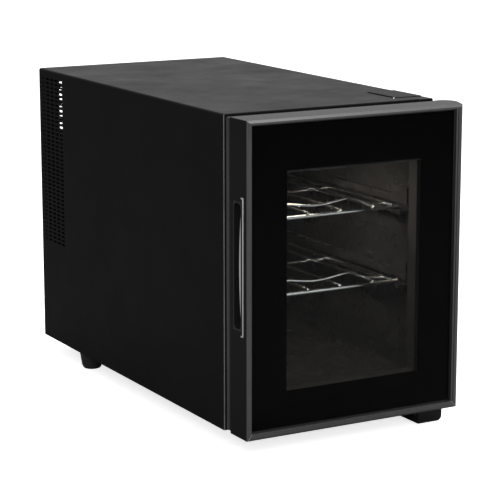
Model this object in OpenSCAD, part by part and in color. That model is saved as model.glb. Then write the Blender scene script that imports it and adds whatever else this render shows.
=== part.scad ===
// Countertop wine cooler with a glass door hinged on the right.
// Every sub-part is drawn on the cabinet's own datum: x = 0 in the middle of the cabinet,
// y = 0 on the cabinet's front face with +y towards the back, z = 0 on the surface it stands on.
// placed() then moves the datum so that the origin is at the bottom centre of the whole object.

/* [Cabinet] */
// Width over the painted wrap
cab_w = 260; // [240:1:320]
// Depth from the front face to the rear edge of the wrap
cab_d = 473; // [460:1:560]
// Height of the cabinet without its feet
cab_h = 337; // [320:1:420]
// Thickness of the wrap's steel sheet
skin_t = 0.8; // [0.6:0.1:1.2]
// Outside radius of the wrap's two folded top corners
bend_r = 2.5; // [1.5:0.1:4]
// Width of the wrap's turned-in front edge
front_return = 20; // [14:1:22]
// Width of the wrap's turned-in bottom edges
bottom_return = 12; // [8:1:14]
// Radius of the wrap's front edges
front_r = 1.5; // [0.9:0.1:2]
// Thickness of the base pan
pan_t = 1; // [0.8:0.1:2]
// Side wall, from the wrap's outside to the cabin
side_wall = 25.2; // [22:0.1:30]
// Floor, from the cabinet's underside to the cabin
floor_wall = 32; // [26:1:40]
// Roof, from the cabinet's top to the cabin
roof_wall = 28; // [24:1:36]
// Thickness of the cabin liner
liner_t = 1.5; // [1:0.1:2.5]
// Radius of the cabin's long inside corners
liner_r = 8; // [4:0.5:12]
// Depth of the plastic collar behind the front edge
collar_d = 8; // [5:0.5:12]

/* [Cooling module] */
// Space behind the bulkhead for the cooling module, the fan and the board
module_bay = 96; // [90:1:120]
// Foam between the liner's back and the bulkhead
back_foam = 24.5; // [20:0.5:40]
// Thickness of the steel bulkhead
bulkhead_t = 1; // [0.8:0.1:2]
// Height of the cooling module's axis above the cabinet's underside
stack_h = 190; // [150:1:210]
// Side of the square thermoelectric module and its cold block
tec_w = 40; // [30:1:50]
// Thickness of the thermoelectric module
tec_t = 3.8; // [3:0.1:5]
// How far the cold block stands out behind the bulkhead
block_proud = 1; // [0.5:0.5:3]
// Cold sink width, height and fin length
cold_sink = [90, 80, 20];
// Hot sink width, height and fin length
hot_sink = [120, 110, 24];
// Thickness of both sinks' base plates
sink_base = 5; // [4:0.5:8]
// Fin thickness
fin_t = 1.6; // [1:0.1:2.5]
// Fin pitch
fin_pitch = 6; // [4:0.5:10]
// Side of the cold fan's square frame
cold_fan_w = 60; // [50:1:70]
// Depth of the cold fan's frame
cold_fan_d = 15; // [12:1:20]
// Side of the hot fan's square frame
hot_fan_w = 92; // [80:1:100]
// Depth of the hot fan's frame
hot_fan_d = 25; // [20:1:25]
// Radius of both fan shafts
fan_shaft_r = 1.5; // [1:0.1:2.5]
// Number of blades on a fan
fan_blades = 9; // [5:1:11]
// Inside size of the cabin's air cover, width and height
air_cover = [136, 136];
// Wall of the air cover and of the control housing
cover_t = 2; // [1.5:0.1:3]

/* [Vents and back] */
// Columns and rows of slots in each side grille
vent_grid = [5, 41];
// Slot pitch along the depth and up the side
vent_pitch = [12.6, 5];
// Length and height of one slot
vent_slot = [9.2, 2.6];
// Plain edge around the slots
vent_margin = 2.2; // [1:0.1:4]
// Height of the lowest row's centre above the cabinet's underside
vent_low = 126; // [80:1:128]
// Plain strip between the side grille and the wrap's rear edge
vent_back = 4; // [2:0.5:10]
// Thickness of the rear cover
rear_t = 3; // [2:0.5:4]
// How far the rear cover sits inside the wrap's rear edge
rear_inset = 0.5; // [0:0.5:3]
// Depth of the rear cover's skirt
rear_skirt = 8; // [5:1:12]
// Louvres beside the fan: number, width, height and pitch
louvre_n = 9; // [4:1:12]
louvre_w = 52; // [30:1:54]
louvre_h = 4; // [2:0.1:5]
louvre_pitch = 7; // [6:0.1:8]

/* [Feet] */
// Height of the feet
foot_h = 20; // [15:1:30]
// Radius of a foot at the top and at the bottom
foot_r = [15, 12];
// Rounding of a foot's lower edge
foot_round = 3; // [1:0.5:4]
// Distance of the rear feet from the cabinet's side
foot_side = 15.2; // [15.2:0.1:30]
// Distance of the rear feet from the cabinet's front
foot_rear_y = 365; // [300:1:430]
// Place of the front foot: from the cabinet's left side and from its front
foot_front = [52, 30];

/* [Door] */
// Thickness of the door, without its back plate
door_t = 38.1; // [34:0.1:44]
// Gap between the door and the cabinet, where the seal sits
door_gap = 16.3; // [14:0.1:20]
// How far the door is wider than the cabinet on each side
door_over = 1.8; // [0:0.1:4]
// How far the door's top is below the cabinet's top
door_drop = 0.6; // [0:0.1:3]
// How far the door's bottom is above the cabinet's underside
door_rise = 1.9; // [1:0.1:4]
// Width of the frame's front face on the left and at the top
frame_lip = 4.5; // [3:0.1:8]
// Width of the frame's front face on the hinge side and at the bottom
stile_lip = 9; // [5:0.1:10]
rail_lip = 8; // [5:0.1:10]
// Width and depth of the groove down the hinge side's front face
stile_groove = [1.4, 0.8];
// Distance of that groove from the glass opening
groove_in = 1.8; // [1:0.1:2.5]
// How far the frame stands proud of the glass
glass_setback = 3.5; // [2:0.1:6]
// Bevel along the frame's front edges
frame_bevel = 2.5; // [0.5:0.1:4]
// Wall of the door frame
frame_wall = 2.7; // [2:0.1:3.5]
// Outer pane thickness
pane_out_t = 4; // [3:0.1:6]
// Inner pane thickness
pane_in_t = 3; // [3:0.1:5]
// Thickness of the black print behind the outer pane
print_t = 0.4; // [0.2:0.1:0.6]
// Gap between the panes, held by the spacer
pane_gap = 15; // [10:0.5:18]
// Width of the spacer between the panes
spacer_w = 7; // [5:0.5:10]
// Width of the print at the sides, the bottom and the top
print_side = 49.8; // [44:0.1:60]
print_bottom = 46.6; // [40:0.1:70]
print_top = 54.9; // [40:0.1:80]
// Distance of the back opening's edge from the door's edge: side, bottom and top
back_side = 41.8; // [38:0.1:60]
back_bottom = 41; // [36:0.1:70]
back_top = 60; // [40:0.1:80]
// Thickness of the door's back plate
back_t = 2.9; // [2:0.1:4]
// Width of the seal
seal_w = 10; // [8:0.5:12]
// Distance between the cabin's edge and the seal
seal_inset = 0.5; // [0.2:0.1:3]
// Clearance between the seal and the cabinet, with the door closed
seal_clear = 0.3; // [0.2:0.1:0.6]

/* [Hinges] */
// Place of the hinge axis: in from the door's right side, and in front of the cabinet
hinge_at = [7.8, 24];
// Centre of the rounded hinge side: in from the door's right side, and in front of the cabinet
barrel_at = [5.8, 27];
// Radius of the rounded hinge side
barrel_r = 14; // [12:0.5:16]
// Radius of both hinge pins
pin_r = 3; // [2:0.1:3.5]
// Length of the pins inside the door
pin_l = 15; // [10:1:20]
// Running clearance of pins and fan shafts, on the radius
run_clear = 0.05; // [0.02:0.01:0.09]
// Wall of the hinge bushes
bush_wall = 2.5; // [1.5:0.1:3]
// Thickness of the hinge plates
plate_t = 3; // [2:0.5:4]
// Half width of the upper hinge's tongue
tongue_half = 8; // [6:0.5:8]
// Clearance of the tongue in its slot
tongue_clear = 0.6; // [0.3:0.1:1]
// How far the tongue lies below the cabinet's top
tongue_down = 11; // [9:0.5:14]
// Travel of the door, for the tongue's slot
door_swing = 110; // [90:1:115]
// Width and length of the hinge cover on the top
hinge_cap = [34, 56];
// How far the hinge cover stands out of the top
hinge_cap_h = 0.6; // [0.4:0.1:3]
// Width of the groove along the hinge cover's left side
cap_groove = 3.2; // [1:0.1:4]
// Distance of the hinge cover from the front and from the right side
hinge_cap_at = [20, 1.5];
// Thickness of the hinge plate on the top
top_plate_t = 2; // [1.5:0.1:2.2]
// Width of the lower hinge and how far it reaches out under the door
low_hinge = [33, 28];
// Length of the lower hinge's foot along the depth
low_foot_d = 62; // [40:1:80]

/* [Handle] */
// Height and centre height of the finger pocket, above the cabinet's underside
pocket_h = 132; // [100:1:160]
pocket_mid = 184; // [150:1:220]
// Width of the pocket along the depth and its depth into the door
pocket_w = 14; // [12:0.5:16]
pocket_d = 16; // [12:0.5:20]
// Distance of the pocket's rear edge behind the cabinet's front plane, towards the viewer
pocket_y = 25.3; // [18:0.1:27]
// Wall of the pocket
pocket_t = 1.5; // [1:0.1:2]
// How far the grip bows out of the pocket's front wall
grip_bow = 5.2; // [2:0.1:6]
// Width and height of the chrome strip in front of the pocket
strip = [1.6, 145.8];
// How far the strip stands out of the door's side, and how deep it is let in
strip_proud = 0.8; // [0.4:0.1:1.2]
strip_sunk = 1; // [0.5:0.1:1.5]
// Gap between the pocket and the strip
strip_gap = 4.4; // [3:0.1:6]
// Length of the strip's turned-back ends
strip_hook = 3.2; // [2:0.1:5]

/* [Shelves] */
// Height of each shelf's front bar above the cabinet's underside
shelf_z = [134.8, 218];
// Distance of the front bar from the cabinet's front
shelf_y = 15; // [12:1:20]
// Depth of a shelf between its front and rear bars
shelf_d = 272; // [200:1:280]
// Radius of the cross bars and of the long wires
bar_r = 2; // [1.5:0.1:3]
wire_r = 1.6; // [1.2:0.1:2.5]
// How far the shelf stays away from the cabin's walls
shelf_clear = 9; // [6:0.5:10]
// Distance of the outer wire from the end of the cross bars
wire_in = 10.3; // [8:0.1:16]
// Spacing of the bottles on a shelf
bottle_pitch = 83; // [78:0.5:90]
// Half the distance between the two wires under one bottle
cradle_half = 21; // [15:0.5:26]
// Distance of the wavy neck wire from the front bar
neck_y = 15; // [10:1:40]
// Height of the neck wire's humps and of its middle above the front bar
hump_h = 11.6; // [8:0.1:16]
dip_h = 7.6; // [4:0.1:10]
// Width that the cabin's ledges stand out of the wall
ledge_w = 16; // [12:0.5:18]
// Thickness of a ledge
ledge_t = 3.5; // [2:0.1:6]
// Width of the upper guide above each ledge
guide_w = 6.8; // [4:0.1:8]
// Height of the upper guide, and of its stop at the front
guide_h = 8; // [5:0.5:10]
stop_h = 19; // [12:0.5:22]
// Length of that stop
stop_l = 29; // [15:1:40]
// Clearance of a shelf in its guides
slide_clear = 0.3; // [0.2:0.1:0.6]
// Distance that a shelf slides forward behind the closed door
shelf_travel = 15; // [5:1:20]

/* [Controls] */
// Width, depth and height of the housing on the cabin's ceiling
control = [100, 68, 17];
// Distance of the housing from the cabinet's front
control_y = 26; // [22:1:40]
// Radius and length of the thermostat knob
knob_r = 7; // [5:0.5:7.5]
knob_l = 8; // [6:0.5:10]
// Sideways place of the knob and of the light switch
knob_x = 34; // [30:1:38]
switch_x = -34; // [-38:1:-30]
// Size of the light switch's rocker
rocker = [15, 10];
// Size of the lamp's lens
lens = [42, 30, 2];

/* [Hidden] */
$fn = 64;
e = 0.01;
origin_x = -(door_over + barrel_r - barrel_at[0] - door_over - strip_proud) / 2;
origin_y = -(cab_d - door_gap - door_t) / 2;
base = foot_h;
top = foot_h + cab_h;
half = cab_w / 2;
skin_in = half - skin_t;
cabin_half = half - side_wall;
cabin_lo = base + floor_wall;
cabin_hi = top - roof_wall;
pan_top = base + skin_t + pan_t;
bulkhead_y = cab_d - module_bay;
liner_back = bulkhead_y - bulkhead_t - back_foam - liner_t;
stack_z = base + stack_h;
// Cooling module, from the cabin to the back
cold_base_y = liner_back - sink_base;
cold_fins_y = cold_base_y - cold_sink[2];
cold_fan_y = cold_fins_y - 1 - cold_fan_d;
air_front = cold_fan_y - cover_t;
block_end = bulkhead_y + block_proud;
hot_base_y = block_end + tec_t;
hot_fins_y = hot_base_y + sink_base + 1;
hot_fan_y = hot_fins_y + hot_sink[2];
rear_y = cab_d - rear_inset - rear_t;
tab_y = rear_y - rear_skirt;
// Door, from the front to the back
door_half = half + door_over;
door_lo = base + door_rise;
door_hi = top - door_drop;
door_front = -door_gap - door_t;
pane_y = door_front + glass_setback;
print_y = pane_y + pane_out_t;
spacer_y = print_y + print_t;
inner_y = spacer_y + pane_gap;
inner_back = inner_y + pane_in_t;
frame_in = door_half - frame_wall;
stile_in = door_half - hinge_at[0] - pin_r - bush_wall - 3;
hinge_x = door_half - hinge_at[0];
hinge_y = -hinge_at[1];
barrel_x = door_half - barrel_at[0];
barrel_y = -barrel_at[1];
tongue_lo = top - tongue_down;
bush_r = pin_r + run_clear + bush_wall;
// Handle
pocket_front = -pocket_y - pocket_w;
pocket_z = [base + pocket_mid - pocket_h / 2, base + pocket_mid + pocket_h / 2];
strip_y = pocket_front - strip_gap - strip[0];
strip_z = [base + pocket_mid - strip[1] / 2, base + pocket_mid + strip[1] / 2];
// Vents
vent_len = vent_grid[0] * vent_pitch[0] + 2 * vent_margin;
vent_y = [cab_d - vent_back - vent_len, cab_d - vent_back];
vent_z0 = base + vent_low - vent_pitch[1] / 2 - vent_margin;
vent_z = [vent_z0, vent_z0 + vent_grid[1] * vent_pitch[1] + 2 * vent_margin];
// Feet, as [x, y]
foot_places = [[-half + foot_side, foot_rear_y], [half - foot_side, foot_rear_y],
               [-half + foot_front[0], foot_front[1]]];
low_x = [door_half - low_hinge[0] - 0.8, door_half - 0.8];
control_bottom = cabin_hi - control[2];
knob_z = cabin_hi - control[2] / 2;
black = "#1c1c1d";
satin = "#2b2b2c";
steel = "#b9bcc0";
chrome = "#d8dadd";
alloy = "#a9adb2";

// Moves the cabinet's datum to the object's own origin
module placed() { translate([origin_x, origin_y, 0]) children(); }

// A block between two limits on each axis
module block(x, y, z) {
    translate([x[0], y[0], z[0]]) cube([x[1] - x[0], y[1] - y[0], z[1] - z[0]]);
}

// A flat rectangle with round corners, centred
module round_rect(w, h, r) {
    square([w - 2 * r, h], center = true);
    square([w, h - 2 * r], center = true);
    for (i = [-1, 1], j = [-1, 1]) translate([i * (w / 2 - r), j * (h / 2 - r)]) circle(r);
}

// A plate that faces front, with round corners
module face_plate(x, y, z, r) {
    translate([(x[0] + x[1]) / 2, y[1], (z[0] + z[1]) / 2]) rotate([90, 0, 0])
        linear_extrude(y[1] - y[0]) round_rect(x[1] - x[0], z[1] - z[0], r);
}

// A plate that faces up, with round corners
module floor_plate(x, y, z, r) {
    translate([(x[0] + x[1]) / 2, (y[0] + y[1]) / 2, z[0]])
        linear_extrude(z[1] - z[0]) round_rect(x[1] - x[0], y[1] - y[0], r);
}

// A round bar along each axis, from a start point
module bar_x(p, r, l) { translate(p) rotate([0, 90, 0]) cylinder(r = r, h = l); }
module bar_y(p, r, l) { translate(p) rotate([-90, 0, 0]) cylinder(r = r, h = l); }
module bar_z(p, r, l) { translate(p) cylinder(r = r, h = l); }

// A pan-head screw whose head lies at p and whose shank runs along -z
module screw(head_r, shank_r, l) {
    cylinder(r = head_r, h = 1.8);
    translate([0, 0, -l]) cylinder(r = shank_r, h = l + e);
}

// A round wire through a list of points. Neighbouring lengths differ a little in radius, and each
// runs on a little past its bend, so that they join cleanly.
module wire(points, r) {
    $fn = 20;
    n = len(points) - 2;
    for (i = [0 : n]) {
        d = points[i + 1] - points[i];
        l = norm(d);
        start = i == 0 ? 0 : 0.6 * r;
        end = i == n ? 0 : 0.6 * r;
        translate(points[i]) rotate([0, acos(d[2] / l), atan2(d[1], d[0])])
            translate([0, 0, -start]) cylinder(r = r - 0.08 * (i % 2), h = l + start + end);
    }
}

// The wrap's section, closed at the bottom, smaller by d on the sides and the top
module cabinet_section(d, bottom) {
    w = cab_w - 2 * d;
    r = max(bend_r - d, 0.5);
    translate([-w / 2, bottom]) square([w, top - d - r - bottom]);
    translate([-w / 2 + r, bottom]) square([w - 2 * r, top - d - bottom]);
    for (i = [-1, 1]) translate([i * (w / 2 - r), top - d - r]) circle(r);
}
module cabinet_block(d, bottom, y) {
    translate([0, y[1], 0]) rotate([90, 0, 0]) linear_extrude(y[1] - y[0]) cabinet_section(d, bottom);
}

// The cabin's section as a block, larger by d all round
module cabin_block(d, y) {
    face_plate([-cabin_half - d, cabin_half + d], y, [cabin_lo - d, cabin_hi + d], liner_r + d);
}

// Places for the screws of the rear cover, as [x, z]
cover_screws = [for (x = [-1, 1], p = [[half - 14, base + 14], [half - 42, top - 10]]) [x * p[0], p[1]]];

module outer_wrap() placed() color(satin) difference() {
    union() {
        difference() {
            intersection() {
                cabinet_block(0, base, [0, cab_d]);
                // Rounded front edges, at the sides and along the top
                translate([0, 0, base - 1]) linear_extrude(cab_h + 2) {
                    for (i = [-1, 1]) translate([i * (half - front_r), front_r]) circle(front_r);
                    translate([-half + front_r, 0]) square([cab_w - 2 * front_r, front_r + e]);
                    translate([-half, front_r]) square([cab_w, cab_d]);
                }
                translate([-half - 1, 0, 0]) rotate([90, 0, 90]) linear_extrude(cab_w + 2) {
                    translate([front_r, top - front_r]) circle(front_r);
                    translate([0, base - 1]) square([front_r + e, cab_h + 1 - front_r]);
                    translate([front_r, base - 1]) square([cab_d, cab_h + 1]);
                }
            }
            cabinet_block(skin_t, base + skin_t, [skin_t, cab_d + e]);
        }
        // Tabs that the rear cover is screwed to
        for (p = cover_screws) {
            high = p[1] > stack_z;
            x = high ? [p[0] - 7, p[0] + 7] : [sign(p[0]) * (half - 21), sign(p[0]) * (skin_in + e)];
            block([min(x), max(x)], [tab_y - skin_t, tab_y], [p[1] - 7, high ? top - skin_t + e : p[1] + 7]);
        }
    }
    for (p = cover_screws) bar_y([p[0], tab_y - 2, p[1]], 1.8, 4);
    // Front opening inside the turned-in edge
    block([-half + front_return, half - front_return], [-e, 1], [base - e, top - front_return]);
    // Bottom between its two turned-in edges
    block([-half + bottom_return, half - bottom_return], [-e, cab_d + e], [base - e, base + 1]);
    for (s = [-1, 1]) block([s * half - 1, s * half + 1], vent_y, vent_z);
    hinge_recess();
    for (p = concat(foot_places, lower_screws)) bar_z([p[0], p[1], base - 1], 2.2, 3);
}

module vent_grille(side) {
    x = side < 0 ? [-half, -half + skin_t] : [half - skin_t, half];
    difference() {
        block(x, vent_y, vent_z);
        for (i = [0 : vent_grid[0] - 1], j = [0 : vent_grid[1] - 1]) {
            y = vent_y[0] + vent_margin + (i + 0.5) * vent_pitch[0];
            z = base + vent_low + j * vent_pitch[1];
            block([x[0] - e, x[1] + e], [y - vent_slot[0] / 2, y + vent_slot[0] / 2],
                [z - vent_slot[1] / 2, z + vent_slot[1] / 2]);
        }
    }
}
module left_vent_grille() placed() color(satin) vent_grille(-1);
module right_vent_grille() placed() color(satin) vent_grille(1);

module base_pan() placed() color(satin) difference() {
    union() {
        block([-skin_in, skin_in], [skin_t, rear_y], [base + skin_t, pan_top]);
        block([-half + bottom_return, half - bottom_return], [skin_t, rear_y], [base, pan_top]);
        block([-half + front_return, half - front_return], [0, skin_t], [base, base + front_return]);
        block([-half + front_return, half - front_return], [0, skin_t + e], [base, pan_top]);
    }
    for (p = foot_places) bar_z([p[0], p[1], base - 1], 2.2, 4);
    for (p = lower_screws) bar_z([p[0], p[1], base - 1], 2.2, 4);
}

// The rear cover: fan grille, two banks of louvres, socket opening and screw holes
module rear_cover() placed() color(black) {
    y = [rear_y, rear_y + rear_t];
    in_half = skin_in - 0.2;
    difference() {
        union() {
            block([-in_half, in_half], y, [pan_top + 0.2, top - skin_t - 0.2]);
            difference() {
                block([-in_half, in_half], [rear_y - rear_skirt, rear_y + e],
                    [pan_top + 0.2, top - skin_t - 0.2]);
                block([-in_half + 2, in_half - 2], [rear_y - rear_skirt - e, rear_y + 2 * e],
                    [pan_top + 2.2, top - skin_t - 2.2]);
            }
            for (p = cover_screws) bar_y([p[0], tab_y, p[1]], 4.4, rear_skirt + e);
        }
        for (s = [-1, 1]) bar_corner_cut(s, in_half);
        fan_openings(stack_z, hot_fan_w / 2 - 3, [y[0] - e, y[1] + e]);
        // A bank of louvres high on each side, and one low on the left
        for (s = [-1, 1], j = [0 : louvre_n - 1])
            block([s * 80 - louvre_w / 2, s * 80 + louvre_w / 2], [y[0] - e, y[1] + e],
                [top - 22 - j * louvre_pitch, top - 22 - j * louvre_pitch + louvre_h]);
        for (j = [0 : 5])
            block([-104, -4], [y[0] - e, y[1] + e],
                [base + 40 + j * louvre_pitch, base + 40 + j * louvre_pitch + louvre_h]);
        block([inlet_x - 14, inlet_x + 14], [y[0] - e, y[1] + e], [inlet_z - 12, inlet_z + 12]);
        for (p = cover_screws) bar_y([p[0], tab_y - 1, p[1]], 2, rear_skirt + rear_t + 2);
    }
}
// Rounds the rear cover's top corners inside the wrap's fold
module bar_corner_cut(s, in_half) {
    r = max(bend_r, 1);
    translate([s * (in_half - r), rear_y - rear_skirt - 1, top - skin_t - 0.2 - r]) difference() {
        translate([s > 0 ? 0 : -r - 1, 0, 0]) cube([r + 1, rear_skirt + rear_t + 2, r + 1]);
        bar_y([0, -1, 0], r, rear_skirt + rear_t + 4);
    }
}
// Ring-shaped openings around a fan's axis, crossed by four spokes
module fan_openings(z, r_max, y) {
    difference() {
        for (r = [10 : 7 : r_max]) difference() {
            bar_y([0, y[0], z], r + 4, y[1] - y[0]);
            bar_y([0, y[0] - 1, z], r, y[1] - y[0] + 2);
        }
        for (a = [45, 135]) translate([0, y[0] - 1, z]) rotate([0, a, 0])
            translate([-2, 0, -r_max - 8]) cube([4, y[1] - y[0] + 2, 2 * r_max + 16]);
    }
}

module rear_cover_screws() placed() color(steel)
    for (p = cover_screws) translate([p[0], rear_y + rear_t, p[1]]) rotate([-90, 0, 0])
        screw(3.6, 1.6, rear_t + rear_skirt + 3);

module front_collar() placed() color(black) difference() {
    union() {
        cabinet_block(skin_t, pan_top, [skin_t, collar_d]);
        face_plate([-half + front_return, half - front_return], [0, skin_t + e],
            [base + front_return, top - front_return], 2);
    }
    cabin_block(liner_t, [-1, collar_d + 1]);
    hinge_recess();
}

// One shelf's ledge, upper guide and front stop on the right wall
module shelf_ledge(z) {
    under = z - bar_r - slide_clear;
    over = z + bar_r + 1.5;
    block([cabin_half - ledge_w, cabin_half + e], [2, shelf_y + shelf_d + 12], [under - ledge_t, under]);
    block([cabin_half - guide_w, cabin_half + e], [2, shelf_y + shelf_d + 12], [over, over + guide_h]);
    block([cabin_half - guide_w, cabin_half + e], [2, 2 + stop_l], [over, over + stop_h]);
}
module cabin_liner() placed() color("#232324") {
    difference() {
        cabin_block(liner_t, [0, liner_back + liner_t]);
        cabin_block(0, [-e, liner_back]);
        block([-tec_w / 2 - 0.5, tec_w / 2 + 0.5], [liner_back - 1, liner_back + 3],
            [stack_z - tec_w / 2 - 0.5, stack_z + tec_w / 2 + 0.5]);
        for (p = stack_holes) bar_y([p[0], liner_back - 1, stack_z + p[1]], 2.3, 4);
    }
    for (z = shelf_z) {
        shelf_ledge(base + z);
        mirror([1, 0, 0]) shelf_ledge(base + z);
    }
}

// Screws that clamp the cooling module together, as [x, z] from its axis
stack_holes = [for (i = [-1, 1], j = [-1, 1]) [i * (tec_w / 2 + 8), j * (tec_w / 2 + 4)]];

module insulation_foam() placed() color("#d9cfa6") difference() {
    cabinet_block(skin_t, pan_top, [collar_d, bulkhead_y - bulkhead_t]);
    cabin_block(liner_t, [0, liner_back + liner_t]);
    block([-tec_w / 2 - 0.5, tec_w / 2 + 0.5], [liner_back, bulkhead_y],
        [stack_z - tec_w / 2 - 0.5, stack_z + tec_w / 2 + 0.5]);
    for (p = stack_holes) bar_y([p[0], liner_back, stack_z + p[1]], 2.3, bulkhead_y - liner_back);
    for (p = foot_places) bar_z([p[0], p[1], base], 3, 16);
    for (p = lower_screws) bar_z([p[0], p[1], base], 3, 16);
    for (p = upper_screws) bar_z([p[0], p[1], top - 14], 3, 14);
    hinge_recess();
}

module rear_bulkhead() placed() color(steel) difference() {
    cabinet_block(skin_t, pan_top, [bulkhead_y - bulkhead_t, bulkhead_y]);
    block([-tec_w / 2 - 1, tec_w / 2 + 1], [bulkhead_y - 2, bulkhead_y + 1],
        [stack_z - tec_w / 2 - 1, stack_z + tec_w / 2 + 1]);
    for (p = stack_holes) bar_y([p[0], bulkhead_y - 2, stack_z + p[1]], 2.3, 4);
}

// Hinges. Screw places are [x, y].
cap_x = [half - hinge_cap_at[1] - hinge_cap[0], half - hinge_cap_at[1]];
cap_y = [hinge_cap_at[0], hinge_cap_at[0] + hinge_cap[1]];
upper_screws = [for (y = [cap_y[0] + 14, cap_y[1] - 12]) [hinge_x - 8, y]];
lower_screws = [for (x = [low_x[0] + 6, low_x[0] + 18]) [x, low_foot_d - low_hinge[1] - 8]];

upper_x = [hinge_x - tongue_half - 6, hinge_x + 2];
// The recess in the cabinet's top for the upper hinge and the groove beside its cover
module hinge_recess() {
    block(upper_x, [-1, cap_y[1] - 4], [top - top_plate_t, top + 1]);
    block([cap_x[0] - cap_groove, upper_x[0] + 1], cap_y, [top - top_plate_t, top + 1]);
}

module upper_hinge() placed() color(satin) {
    difference() {
        union() {
            block(upper_x, [-top_plate_t - 0.3, cap_y[1] - 4], [top - top_plate_t, top]);
            block(upper_x, [-top_plate_t - 0.3, -0.3], [tongue_lo, top - e]);
            block([hinge_x - tongue_half, hinge_x + 2], [hinge_y, -0.3], [tongue_lo, tongue_lo + plate_t]);
            bar_z([hinge_x, hinge_y, tongue_lo], tongue_half, plate_t);
            bar_z([hinge_x, hinge_y, tongue_lo - pin_l], pin_r, pin_l + e);
        }
        for (p = upper_screws) bar_z([p[0], p[1], top - top_plate_t - 1], 3, top_plate_t + 2);
    }
}

module upper_hinge_screws() placed() color(steel)
    for (p = upper_screws) translate([p[0], p[1], top - top_plate_t]) {
        cylinder(r = 3, h = top_plate_t);
        translate([0, 0, -10]) cylinder(r = 1.6, h = 10 + e);
    }

module hinge_cover() placed() color(satin)
    floor_plate(cap_x, cap_y, [top, top + hinge_cap_h], 2.5);

// The rounded hinge side of the door, seen from above
module hinge_side() {
    corner = [door_half, door_front + frame_bevel];
    d = corner - [barrel_x, barrel_y];
    a = atan2(d[1], d[0]) + acos(barrel_r / norm(d));
    // The straight part ends just inside the round part
    r = barrel_r - 0.05;
    translate([barrel_x, barrel_y]) circle(barrel_r);
    polygon([corner, [barrel_x + r * cos(a + 2), barrel_y + r * sin(a + 2)],
        [barrel_x, barrel_y], [stile_in, barrel_y], [stile_in, door_front + frame_bevel]]);
}
// Everything that the hinge tongue sweeps, seen from above, about the hinge axis
module tongue_sweep() {
    r = tongue_half + tongue_clear;
    circle(r + 0.05);
    translate([-r, 0]) square([60, 60]);
    rotate(90 - door_swing) translate([0, -r]) square([60, 2 * r]);
}

module lower_hinge() placed() color(satin) difference() {
    union() {
        floor_plate(low_x, [-low_hinge[1], low_foot_d - low_hinge[1]], [base - plate_t, base], 3);
        bar_z([hinge_x, hinge_y, base - e], pin_r, door_rise + pin_l);
    }
    for (p = lower_screws) bar_z([p[0], p[1], base - plate_t - 1], 2.2, plate_t + 2);
}
// The foot block below the lower hinge, with its lower right edge rounded
module lower_hinge_foot() placed() color(black) difference() {
    r = 6;
    y = [-low_hinge[1] + 0.6, 14];
    union() {
        block([low_x[0] + 0.6, low_x[1] - 0.6], y, [r, base - plate_t]);
        block([low_x[0] + 0.6, low_x[1] - 0.6 - r], y, [0, r + e]);
        bar_y([low_x[1] - 0.6 - r, y[0], r], r, y[1] - y[0]);
    }
    // Recess for the clamp screw on the left face
    bar_x([low_x[0] - 1, -low_hinge[1] + 6.5, base - plate_t - 5], 3.4, 3.2);
}
module lower_hinge_screws() placed() color(steel) {
    for (p = lower_screws) translate([p[0], p[1], base - plate_t]) mirror([0, 0, 1]) screw(4, 2, 14);
    // Clamp screw in the foot's left face
    translate([low_x[0] + 2.2, -low_hinge[1] + 6.5, base - plate_t - 5]) rotate([0, -90, 0])
        difference() {
            cylinder(r = 3, h = 2.4);
            translate([0, 0, 1.2]) cylinder(r = 1.8, h = 2, $fn = 6);
        }
}
module hinge_washer() placed() color(chrome) difference() {
    bar_z([hinge_x, hinge_y, base], bush_r, door_rise - 0.3);
    bar_z([hinge_x, hinge_y, base - 1], pin_r + run_clear, door_rise + 2);
}

// A round foot: tapered, with a rounded lower edge and a screw recess from below
module foot() rotate_extrude() difference() {
    union() {
        polygon([[0, 0], [foot_r[1] - foot_round, 0], [foot_r[1] - foot_round, foot_round],
            [foot_r[1], foot_round], [foot_r[0], foot_h - 2], [foot_r[0], foot_h], [0, foot_h]]);
        translate([foot_r[1] - foot_round, foot_round]) intersection() {
            circle(foot_round);
            translate([0, -foot_round]) square(foot_round);
        }
    }
    translate([-1, -1]) square([1 + 4.6, 1 + foot_h - 6]);
    translate([-1, -1]) square([1 + 2.2, foot_h + 2]);
}
module rear_left_foot() placed() color("#2f2f30") translate(foot_places[0]) foot();
module rear_right_foot() placed() color("#2f2f30") translate(foot_places[1]) foot();
module front_left_foot() placed() color("#2f2f30") translate(foot_places[2]) foot();
module foot_screws() placed() color(steel)
    for (p = foot_places) translate([p[0], p[1], foot_h - 6]) mirror([0, 0, 1]) screw(4, 2, 16);

// Cooling module
// Heat sink with its base at y = 0 and its fins along +y
module heat_sink(size, base_t) {
    n = floor((size[0] / 2 - fin_t) / fin_pitch);
    block([-size[0] / 2, size[0] / 2], [0, base_t], [-size[1] / 2, size[1] / 2]);
    for (i = [-n : n]) block([i * fin_pitch - fin_t / 2, i * fin_pitch + fin_t / 2],
        [base_t - e, base_t + size[2]], [-size[1] / 2, size[1] / 2]);
}
module cold_sink() placed() color(alloy) difference() {
    translate([0, liner_back, stack_z]) mirror([0, 1, 0]) heat_sink(cold_sink, sink_base);
    for (p = stack_holes) {
        bar_y([p[0], cold_fins_y - 1, stack_z + p[1]], 4.6, cold_sink[2] + 1);
        bar_y([p[0], cold_fins_y, stack_z + p[1]], 2.3, cold_sink[2] + sink_base + 1);
    }
}
module cold_block() placed() color(alloy)
    block([-tec_w / 2, tec_w / 2], [liner_back, block_end], [stack_z - tec_w / 2, stack_z + tec_w / 2]);
module thermoelectric_module() placed() color("#e8e6df") {
    for (y = [block_end, hot_base_y - 0.8])
        block([-tec_w / 2, tec_w / 2], [y, y + 0.8], [stack_z - tec_w / 2, stack_z + tec_w / 2]);
    block([-tec_w / 2 + 1, tec_w / 2 - 1], [block_end + 0.8 - e, hot_base_y - 0.8 + e],
        [stack_z - tec_w / 2 + 1, stack_z + tec_w / 2 - 1]);
}
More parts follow.
